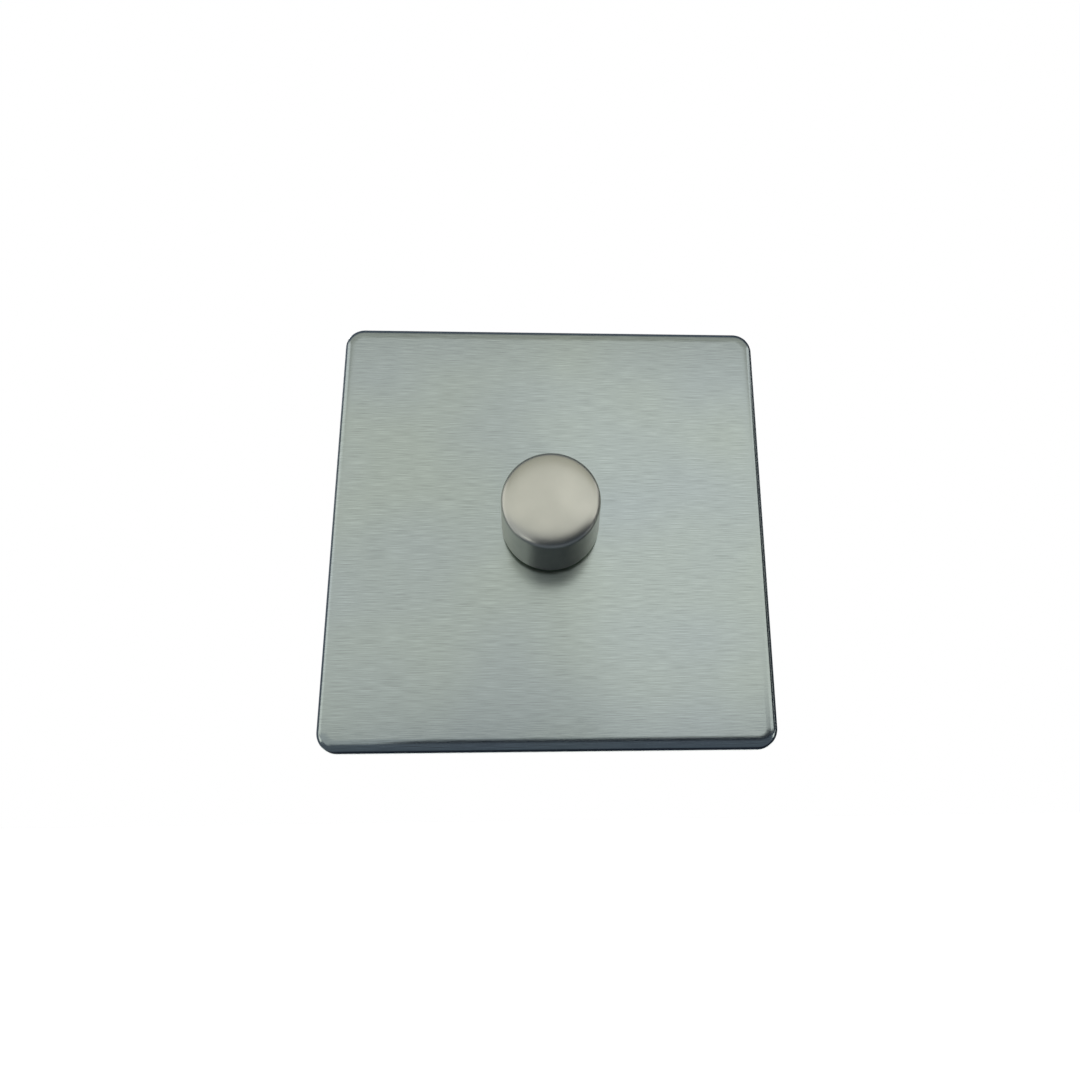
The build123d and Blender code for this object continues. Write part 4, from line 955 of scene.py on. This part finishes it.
@dataclass
class Bushing:
    """The threaded barrel that the spindle turns in."""

    bore: float = 3.075
    radius: float = 5.0
    lead: float = 0.5
    chamfer: float = 0.15
    spigot: float = 4.2
    stake: float = 5.599
    spigot_front: float = -2.5
    stake_front: float = -4.0
    turns: int = 96
    rings_per_pitch: int = 8
    on_barrel: float = 1e-3
    crease_deg: float = 50.0
    thread: Thread = Thread(start=-2.0, end=6.9, pitch=0.75, depth=0.36)

    def section(self) -> list[Point]:
        """The barrel's half section, with rings close enough for the thread.

        Returns:
            The section.
        """
        extent = Extent.of("bush")
        top, back = extent.front, extent.back
        run = top - self.lead - self.spigot_front
        steps = int(run / (self.thread.pitch / self.rings_per_pitch))
        return [
            (self.bore + self.chamfer, top),
            (self.radius - self.lead, top),
            *((self.radius, top - self.lead - run * step / steps) for step in range(steps + 1)),
            (self.spigot, self.spigot_front),
            (self.spigot, self.stake_front),
            (self.stake, self.stake_front),
            (self.stake, back),
            (self.bore, back),
            (self.bore, top - self.chamfer),
        ]

    def build(self) -> None:
        """Turns the bush and cuts its fine thread in the barrel."""
        mesh = lathe("bush_threaded", self.section(), turns=self.turns)
        for vertex in mesh.vertices:
            x, out, z = vertex.co.x / MM, -vertex.co.y / MM, vertex.co.z / MM
            reach = math.hypot(x, z)
            if abs(reach - self.radius) < self.on_barrel:
                share = (reach - self.thread.drop(math.atan2(z, x), out)) / reach
                vertex.co.x *= share
                vertex.co.z *= share
        add_piece(mesh, "body", "bush_brass", "bush", crease_deg=self.crease_deg)


@dataclass
class Control:
    """The track, wiper and rotor in their pot, on the spindle that turns and slides in the bush."""

    edge: float = 0.1

    def build(self) -> None:
        """Dresses the control's pieces and breaks the edges of those that turn."""
        dress("spindle_clip", "pot_case", "wiper", "resistance_track", "track_tags")
        ease("spindle", self.edge)
        ease("rotor", self.edge)


@dataclass
class PushSwitch:
    """The switch behind the control, with its plunger, moving bridge and return spring."""

    edge: float = 0.12
    wire: float = 0.22
    turns: float = 5.5
    flat_turns: float = 0.6
    steps: int = 30
    sides: int = 10

    def coil(self, spring: Extent) -> list[Vector]:
        """The spring's middle line, with a flat turn at each end.

        Args:
            spring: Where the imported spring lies.

        Returns:
            Points from its fixed end to its moving end.
        """
        x, z = spring.middle
        radius = spring.width / 2 - self.wire
        low, high = spring.back + self.wire, spring.front - self.wire
        count = round(self.turns * self.steps)
        points = []
        for step in range(count + 1):
            wound = self.turns * step / count
            climb = (wound - self.flat_turns) / (self.turns - 2 * self.flat_turns)
            angle = math.tau * wound
            out = low + (high - low) * min(max(climb, 0.0), 1.0)
            points.append(Vector((x + radius * math.cos(angle), out, z + radius * math.sin(angle))))
        return points

    def build(self) -> None:
        """Dresses the switch and winds its spring on no body; the real spring shortens as the plunger moves, but
        the wound coil keeps its rest length.
        """
        dress("switch_bridge", "fixed_contacts")
        ease("switch_case", self.edge)
        ease("switch_plunger", self.edge)
        spring = Extent.of("return_spring")
        x, z = spring.middle
        coil = tube("return_spring_coil", self.coil(spring), self.wire, self.sides)
        piece = add_piece(coil, None, "spring_steel", "return_spring", crease_deg=SMOOTH_DEG)
        at(x, spring.back, z)
        at(x, spring.front, z)
        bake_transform(piece)


@dataclass
class ModuleCase:
    """The two black mouldings round the circuit, held by four cross-headed screws."""

    def build(self) -> None:
        """Dresses both halves and their screws."""
        dress("module_cover", "module_base", "cover_screws")


@dataclass
class Terminals:
    """Three brass clamps for the mains wires."""

    edge: float = 0.15

    def build(self) -> None:
        """Breaks the clamps' edges and dresses their screws."""
        ease("terminals", self.edge)
        dress("terminal_screws")


class Shape(Enum):
    """Outlines of the components with a wire at each end."""

    DOG_BONE = "moulded resistor, thicker over its end caps"
    BEAD = "glass bead"
    CAPPED = "ceramic tube in metal caps"


@dataclass(frozen=True)
class AxialComponent:
    """A component that lies along Z on the board, with its leads bent down to it."""

    x: float
    z: float
    radius: float
    length: float
    span: float
    shape: Shape
    bands: tuple[Finish, ...] = ()
    lead: float = 0.28
    bend: float = 0.7
    lead_inset: float = 0.3
    tuck: float = 0.1
    waist_share: float = 0.84
    cap_share: float = 0.24
    slope_share: float = 0.06
    bend_share: float = 0.8
    end_profile: tuple[Point, ...] = ((0.62, 0.0), (0.9, 0.12), (1.0, 0.45))
    band_lift: float = 0.025
    band_bite: float = 0.05
    band_share: float = 0.075
    end_band_share: float = 0.15
    middle_band_shares: Point = (-0.13, 0.01)
    bead_band: Point = (1.2, 0.6)
    end_gap: float = 0.05
    end_cap_share: float = 0.22
    end_round: float = 0.5
    end_round_share: float = 0.6
    end_steps: int = 5
    turns: int = 28

    def turned(self, name: str, section: Sequence[Point]) -> bpy.types.Mesh:
        """Turns a section of radius and height pairs about the component's own axis.

        Args:
            name: The mesh's name.
            section: Radius and height pairs.

        Returns:
            The mesh, in metres.
        """
        mesh = lathe(name, section, turns=self.turns)
        lay = Matrix.Rotation(math.radians(-90), 4, "X")
        mesh.transform(Matrix.Translation(at(self.x, BOARD_OUT - self.radius, self.z)) @ lay)
        return mesh

    def outline(self) -> list[Point]:
        """Half section of the body, from one end to the other, its lower half a mirror of the upper one.

        Returns:
            Radius and height pairs.
        """
        half, full = self.length / 2, self.radius
        if self.shape is Shape.DOG_BONE:
            cap = half - self.length * self.cap_share
            upper = [
                (0.0, half), *((full * share, half - drop) for share, drop in self.end_profile),
                (full, cap), (full * self.waist_share, cap - self.length * self.slope_share),
            ]
        else:
            turn = min(full * self.end_round_share, self.end_round)
            upper = [(0.0, half), *arc((full - turn, half - turn), turn, 90.0, 0.0, self.end_steps)]
        return [*upper, *((radius, -height) for radius, height in reversed(upper))]

    def sleeve(self, name: str, radius: float, low: float, high: float) -> bpy.types.Mesh:
        """A closed band round the body between two heights along it.

        Args:
            name: The mesh's name.
            radius: Radius of the body there.
            low: The band's lower end.
            high: Its upper end.

        Returns:
            The mesh, in metres.
        """
        lift, inner = self.band_lift, radius - self.band_bite
        section = [
            (inner, high), (radius, high), (radius + lift, high - lift), (radius + lift, low + lift),
            (radius, low), (inner, low),
        ]
        return self.turned(name, section)

    def leads(self, name: str) -> bpy.types.Mesh:
        """Both leads, bent down to the board.

        Args:
            name: The mesh's name.

        Returns:
            One mesh with both, in metres.
        """
        out = BOARD_OUT - self.radius
        reach = self.span / 2 - self.lead_inset
        bend = min(self.bend, self.radius * self.bend_share)
        wires = []
        for end in (-1, 1):
            corners = [
                Vector((self.x, out, self.z + end * (self.length / 2 - self.tuck))),
                Vector((self.x, out, self.z + end * reach)),
                Vector((self.x, BOARD_OUT, self.z + end * reach)),
            ]
            wires.append(tube(name, rounded_path(corners, bend), self.lead))
        return gather(name, wires)

    def band_heights(self) -> list[Place]:
        """Radius, lower and upper height of each band.

        Returns:
            One triple for each band.
        """
        half = self.length / 2
        if self.shape is Shape.CAPPED:
            cap, end = half - self.length * self.end_cap_share, half - self.end_gap
            return [(self.radius, -end, -cap), (self.radius, cap, end)]
        if self.shape is Shape.BEAD:
            low, high = self.bead_band
            return [(self.radius, half - low, half - high)]
        reach = self.length * self.band_share / 2
        end = half - self.length * self.end_band_share
        places = (-end, *(self.length * share for share in self.middle_band_shares), end)
        waist = self.radius * self.waist_share
        radii = (self.radius, waist, waist, self.radius)
        return [(radius, place - reach, place + reach) for radius, place in zip(radii, places)]


RESISTOR_BANDS: dict[float, tuple[Finish, ...]] = {
    11.4: (BROWN, BLACK, ORANGE, GOLD),
    14.8: (RED, RED, YELLOW, GOLD),
    18.2: (YELLOW, RED, BROWN, GOLD),
}


@dataclass
class SmallComponents:
    """Resistors, trigger diode and fuse, each with round leads and its bands or caps."""

    resistors: tuple[AxialComponent, ...] = tuple(
        AxialComponent(x, 2.5, 1.15, 6.3, 10.2, Shape.DOG_BONE, bands) for x, bands in RESISTOR_BANDS.items()
    )
    diac: AxialComponent = AxialComponent(11.4, -8.0, 0.9, 3.8, 7.0, Shape.BEAD, (BLACK,))
    fuse: AxialComponent = AxialComponent(17.0, -10.6, 1.8, 10.0, 13.0, Shape.CAPPED, (TIN, TIN))

    def build(self) -> None:
        """Makes the bodies in place of their solids, then their leads and bands."""
        for node, parts in (("resistors", self.resistors), ("diac", (self.diac,)), ("fuse", (self.fuse,))):
            bodies = gather(f"{node}_bodies", [part.turned(node, part.outline()) for part in parts])
            add_piece(bodies, "body", SLOT_OF[node], node)
            add_piece(gather(f"{node}_leads", [part.leads(node) for part in parts]), "body", "tinned_brass")
            for index, part in enumerate(parts):
                for turn, (finish, heights) in enumerate(zip(part.bands, part.band_heights())):
                    sleeve = part.sleeve(f"{node}_band_{index}_{turn}", *heights)
                    add_piece(sleeve, "body", SLOT_OF[node], finish=finish)


@dataclass
class Choke:
    """The ferrite ring and the one enamelled wire wound round it."""

    x: float = 6.5
    z: float = 17.0
    middle: float = 4.6
    half_width: float = 1.9
    half_height: float = 3.3
    wire: float = 0.28
    turns: int = 14
    steps: int = 28
    sides: int = 10
    sweep_deg: float = 334.0
    squareness: float = 0.42
    core_edge: float = 0.35

    def bulge(self, value: float) -> float:
        """Pushes a sine or cosine towards 1 or -1, so that the turns hug the ring's square section."""
        return math.copysign(abs(value) ** self.squareness, value)

    def wound(self) -> list[Vector]:
        """The wire's middle line round the ring's section, turn after turn.

        Returns:
            Points from its start to its end.
        """
        core = Extent.of("choke_core")
        height = (core.front + core.back) / 2
        count = self.turns * self.steps
        points = []
        for step in range(count + 1):
            share = step / count
            around = math.radians(-90 - self.sweep_deg / 2 + self.sweep_deg * share)
            through = math.tau * share * self.turns
            reach = self.middle + self.half_width * self.bulge(math.cos(through))
            out = height + self.half_height * self.bulge(math.sin(through))
            points.append(Vector((self.x + reach * math.cos(around), out, self.z + reach * math.sin(around))))
        return points

    def build(self) -> None:
        """Winds the wire and breaks the ring's edges."""
        winding = tube("choke_winding_wire", self.wound(), self.wire, self.sides)
        add_piece(winding, "body", "winding_copper", "choke_winding", crease_deg=SMOOTH_DEG)
        ease("choke_core", self.core_edge)


@dataclass
class CircuitBoard:
    """The board, its larger components, and the solder joints on the side that faces the room."""

    edge: float = 0.1
    joint_turns: int = 20
    joint_crease_deg: float = 70.0
    joint_profile: tuple[Point, ...] = (
        (0.0, -0.05), (0.85, -0.05), (0.85, 0.03), (0.663, 0.07), (0.4675, 0.165), (0.35, 0.2805),
        (0.3, 0.33), (0.18, 0.36), (0.0, 0.36),
    )
    triac_body: Point = (-8.25, 1.05)
    joints: tuple[Point, ...] = (
        (11.4, 7.3), (11.4, -2.3), (14.8, 7.3), (14.8, -2.3), (18.2, 7.3), (18.2, -2.3),
        (11.4, -4.8), (11.4, -11.2), (17.0, -4.4), (17.0, -16.8),
        (-13.5, 17.0), (-4.5, 17.0), (17.4, 15.0), (17.4, 11.0), (3.6, 10.6), (9.4, 10.6),
        (-16.84, -14.4), (-14.3, -14.4), (-11.76, -14.4), (-12.0, -19.0), (0.0, -19.0), (12.0, -19.0),
    )

    def solder(self) -> bpy.types.Mesh:
        """Every joint as a small flared cone round its wire's end.

        Returns:
            One mesh with all of them, in metres.
        """
        face = Extent.of("circuit_board").front
        section = [(radius, face + height) for radius, height in self.joint_profile]
        joints = [lathe("joint", section, centre, self.joint_turns) for centre in self.joints]
        return gather("board_solder", joints)

    def plate_metal(self, triac: bpy.types.Object | None) -> None:
        """Gives the triac's tab and legs their tin, where it has a mesh of its own.

        Args:
            triac: The triac's piece, or None where it keeps its solid.
        """
        if triac is None:
            return
        triac.data.materials.append(TIN.material())
        low, high = self.triac_body
        for face in triac.data.polygons:
            if not low <= face.center.z / MM <= high:
                face.material_index = 1

    def build(self) -> None:
        """Dresses the board, breaks the edges of what stands on it and solders it."""
        dress("circuit_board")
        for node in ("heat_sink", "triac_screw", "suppressor_capacitor", "timing_capacitor"):
            ease(node, self.edge)
        self.plate_metal(ease("triac", self.edge))
        add_piece(self.solder(), "body", "tinned_brass", crease_deg=self.joint_crease_deg)


@dataclass(frozen=True)
class Lamp:
    """A square soft lamp aimed at the plate: its place as right, out and up, its side and its power.

    A lamp in front isn't mirrored, so that the polished metal shows the even surround instead.
    """

    name: str
    place: Place
    size: float
    watts: float
    mirrored: bool = True

    def build(self) -> None:
        """Makes the lamp."""
        data = bpy.data.lights.new(self.name, "AREA")
        data.shape = "SQUARE"
        data.size = self.size * MM
        data.energy = self.watts
        lamp = bpy.data.objects.new(self.name, data)
        lamp.location = at(*self.place)
        lamp.rotation_mode = "QUATERNION"
        lamp.rotation_quaternion = (-lamp.location).to_track_quat("-Z", "Y")
        lamp.visible_glossy = self.mirrored
        bpy.context.scene.collection.objects.link(lamp)


def sheet_on_stage(name: str, corners: Sequence[Place]) -> tuple[bpy.types.Object, bpy.types.NodeTree]:
    """Makes one flat sheet with a material of its own.

    Args:
        name: The sheet's name.
        corners: Its four corners as right, out and up.

    Returns:
        The sheet and its material's node tree.
    """
    mesh = bpy.data.meshes.new(name)
    mesh.from_pydata([at(*corner) for corner in corners], [], [tuple(range(len(corners)))])
    sheet = bpy.data.objects.new(name, mesh)
    bpy.context.scene.collection.objects.link(sheet)
    material = bpy.data.materials.new(name)
    material.use_nodes = True
    mesh.materials.append(material)
    return sheet, material.node_tree


def upright(out: float, left: float, right: float, low: float, high: float) -> tuple[Place, ...]:
    """Corners of a card that stands parallel to the wall."""
    return (left, out, low), (right, out, low), (right, out, high), (left, out, high)


def level(up: float, left: float, right: float, near: float, far: float) -> tuple[Place, ...]:
    """Corners of a card that lies level."""
    return (left, near, up), (right, near, up), (right, far, up), (left, far, up)


def sideways(x: float, far: float, near: float, low: float, high: float) -> tuple[Place, ...]:
    """Corners of a card that stands at one side."""
    return (x, far, low), (x, near, low), (x, near, high), (x, far, high)


@dataclass(frozen=True)
class Card:
    """A studio card that only reflections see: its corners as right, out and up, and its colour."""

    name: str
    colour: Colour
    corners: tuple[Place, ...]

    def build(self) -> None:
        """Makes the card."""
        card, tree = sheet_on_stage(self.name, self.corners)
        tree.nodes.remove(tree.nodes["Principled BSDF"])
        glow = grow(tree, "Emission", 0, {"Color": (*self.colour, 1.0)})
        fill(tree.nodes["Material Output"], {"Surface": glow})
        card.visible_camera = False
        card.visible_diffuse = False
        card.visible_shadow = False
        card.visible_transmission = False


NAVY: Colour = (0.020, 0.027, 0.042)
SLATE: Colour = (0.12, 0.14, 0.18)
HAZE: Colour = (0.50, 0.52, 0.56)
PALE: Colour = (0.85, 0.85, 0.83)
GREY: Colour = (0.52, 0.52, 0.48)
WHITE = (1.0, 1.0, 1.0, 1.0)
BELOW, FAR, WALL, PLATE_EDGE = -62.0, 900.0, 0.6, 44.2

CARDS = (
    Card("card_floor_near", SLATE, level(BELOW, -90, 90, 1, 30)),
    Card("card_floor_mid", SLATE, level(BELOW, -60, 420, 30, 60)),
    Card("card_floor_right", NAVY, level(BELOW, 22, 420, 60, 330)),
    Card("card_floor_far", NAVY, ((-40, 60, BELOW), (22, 60, BELOW), (22, 330, BELOW), (-64, 330, BELOW))),
    Card("card_skyline", HAZE, upright(FAR, -160, 60, -125, BELOW)),
    Card("card_horizon", NAVY, upright(FAR, -160, 60, -350, -125)),
    Card("card_horizon_right", NAVY, upright(FAR, 60, 275, -350, BELOW)),
    Card("card_right_low", NAVY, ((275, FAR, -350), (720, FAR, -350), (720, FAR, -5), (275, FAR, -15))),
    Card("card_side_right", NAVY, sideways(420, 190, 22, -120, 200)),
    Card("card_behind_right", NAVY, sideways(420, -25, -200, -120, 300)),
    Card("card_behind_left", SLATE, sideways(-420, -10, -200, BELOW, 300)),
    Card("card_ceiling", SLATE, level(300, -420, 420, WALL, 110)),
    Card("card_floor_left", HAZE, level(BELOW, -420, -60, 30, 330)),
    Card("card_left_low", HAZE, ((-900, 500, -350), (60, 700, -350), (60, 700, -20), (-900, 500, -20))),
    Card("card_left", PALE, ((-900, 500, -20), (60, 700, -20), (-20, 700, 340), (-900, 500, 340))),
    Card("card_overhead", GREY, ((-700, 700, 400), (700, 700, 400), (700, 60, 600), (-700, 60, 600))),
    Card("card_wall_left", SLATE, upright(WALL, -400, -PLATE_EDGE, -400, 400)),
    Card("card_wall_right", NAVY, upright(WALL, PLATE_EDGE, 400, -400, 400)),
    Card("card_wall_top", SLATE, upright(WALL, -PLATE_EDGE, PLATE_EDGE, PLATE_EDGE, 400)),
    Card("card_wall_low", NAVY, upright(WALL, -PLATE_EDGE, PLATE_EDGE, -400, -PLATE_EDGE)),
)

LAMPS = (
    Lamp("lamp_left", (-700.0, 420.0, 560.0), 420.0, 3.2, mirrored=False),
    Lamp("lamp_right", (760.0, 420.0, 260.0), 380.0, 2.2, mirrored=False),
    Lamp("lamp_behind_left", (-560.0, -620.0, 420.0), 420.0, 3.2),
    Lamp("lamp_behind_right", (620.0, -560.0, 300.0), 380.0, 2.2),
)


@dataclass
class Studio:
    """A pale floor, an even white surround, soft lamps and the cards that the polished metal mirrors."""

    floor_drop: float = 350.0
    floor_half: float = 6000.0
    floor_grey: float = 0.93
    floor_roughness: float = 0.9
    floor_lift: float = 0.45
    world_level: float = 0.72
    seen_level: float = 1.0

    def build(self) -> None:
        """Makes the world, the floor, the lamps and the cards."""
        self.world()
        self.floor()
        for piece in (*LAMPS, *CARDS):
            piece.build()

    def world(self) -> None:
        """Soft light all round, and plain white where the camera, metal or glass look at it."""
        world = bpy.data.worlds.new("studio")
        bpy.context.scene.world = world
        world.use_nodes = True
        tree = world.node_tree
        light = tree.nodes["Background"]
        fill(light, {"Color": WHITE, "Strength": self.world_level})
        white = grow(tree, "Background", 0, {"Color": WHITE, "Strength": self.seen_level})
        mixed = grow(tree, "MixShader", 0, {0: self.seen(tree), 1: light.outputs[0], 2: white})
        fill(tree.nodes["World Output"], {"Surface": mixed})

    @staticmethod
    def seen(tree: bpy.types.NodeTree) -> Socket:
        """A factor that is 1 for camera, glossy and transmission rays and 0 for the rest.

        Args:
            tree: The tree to add its nodes to.

        Returns:
            The factor's socket.
        """
        path = tree.nodes.new("ShaderNodeLightPath")
        total = path.outputs["Is Camera Ray"]
        for kind in ("Is Glossy Ray", "Is Transmission Ray"):
            total = grow(tree, "Math", 0, {0: total, 1: path.outputs[kind]}, operation="MAXIMUM")
        return total

    def floor(self) -> None:
        """A pale floor far below: its own shading keeps the shadow, and a lift for what sees it whitens it."""
        half = self.floor_half
        floor, tree = sheet_on_stage("studio_floor", level(-self.floor_drop, -half, half, half, -half))
        lift = grow(tree, "Math", 0, {0: self.seen(tree), 1: self.floor_lift}, operation="MULTIPLY")
        paint = {
            "Base Color": (*(self.floor_grey,) * 3, 1.0), "Roughness": self.floor_roughness,
            "Emission Color": WHITE, "Emission Strength": lift,
        }
        fill(tree.nodes["Principled BSDF"], paint)


@dataclass
class PhotoCamera:
    """The camera's place and lens, solved from the plate's four edges and the knob's outline."""

    eye: Place = (-1.14, 177.64, -46.54)
    aim: Place = (8.28, 5.4, 7.66)
    roll_deg: float = -0.70
    lens: float = 30.03
    sensor: float = 36.0
    shift: Point = (-0.0479, -0.0476)
    nearest: float = 5.0
    farthest: float = 20000.0

    def build(self) -> None:
        """Makes the camera."""
        data = bpy.data.cameras.new("photo_camera")
        data.sensor_width = self.sensor
        data.lens = self.lens
        data.shift_x, data.shift_y = self.shift
        data.clip_start, data.clip_end = self.nearest * MM, self.farthest * MM
        camera = bpy.data.objects.new("photo_camera", data)
        camera.rotation_mode = "QUATERNION"
        camera.location = at(*self.eye)
        ahead = at(*self.aim) - camera.location
        roll = Matrix.Rotation(math.radians(self.roll_deg), 3, "Z").to_quaternion()
        camera.rotation_quaternion = ahead.to_track_quat("-Z", "Y") @ roll
        bpy.context.scene.collection.objects.link(camera)
        bpy.context.scene.camera = camera


def main() -> None:
    """Builds the sub-assemblies from the front back, then the studio and the camera, and reports each piece."""
    logging.basicConfig(level=logging.INFO, format="%(name)s %(message)s")
    bpy.context.scene.view_settings.view_transform = "Standard"
    assemblies = (
        FrontPlate(), PlateLiner(), Knob(), MountingFrame(), Bushing(), Control(), PushSwitch(),
        ModuleCase(), Terminals(), CircuitBoard(), SmallComponents(), Choke(), Studio(), PhotoCamera(),
    )
    for assembly in assemblies:
        LOG.info("building %s", type(assembly).__name__)
        assembly.build()


if __name__ == "__main__":
    main()
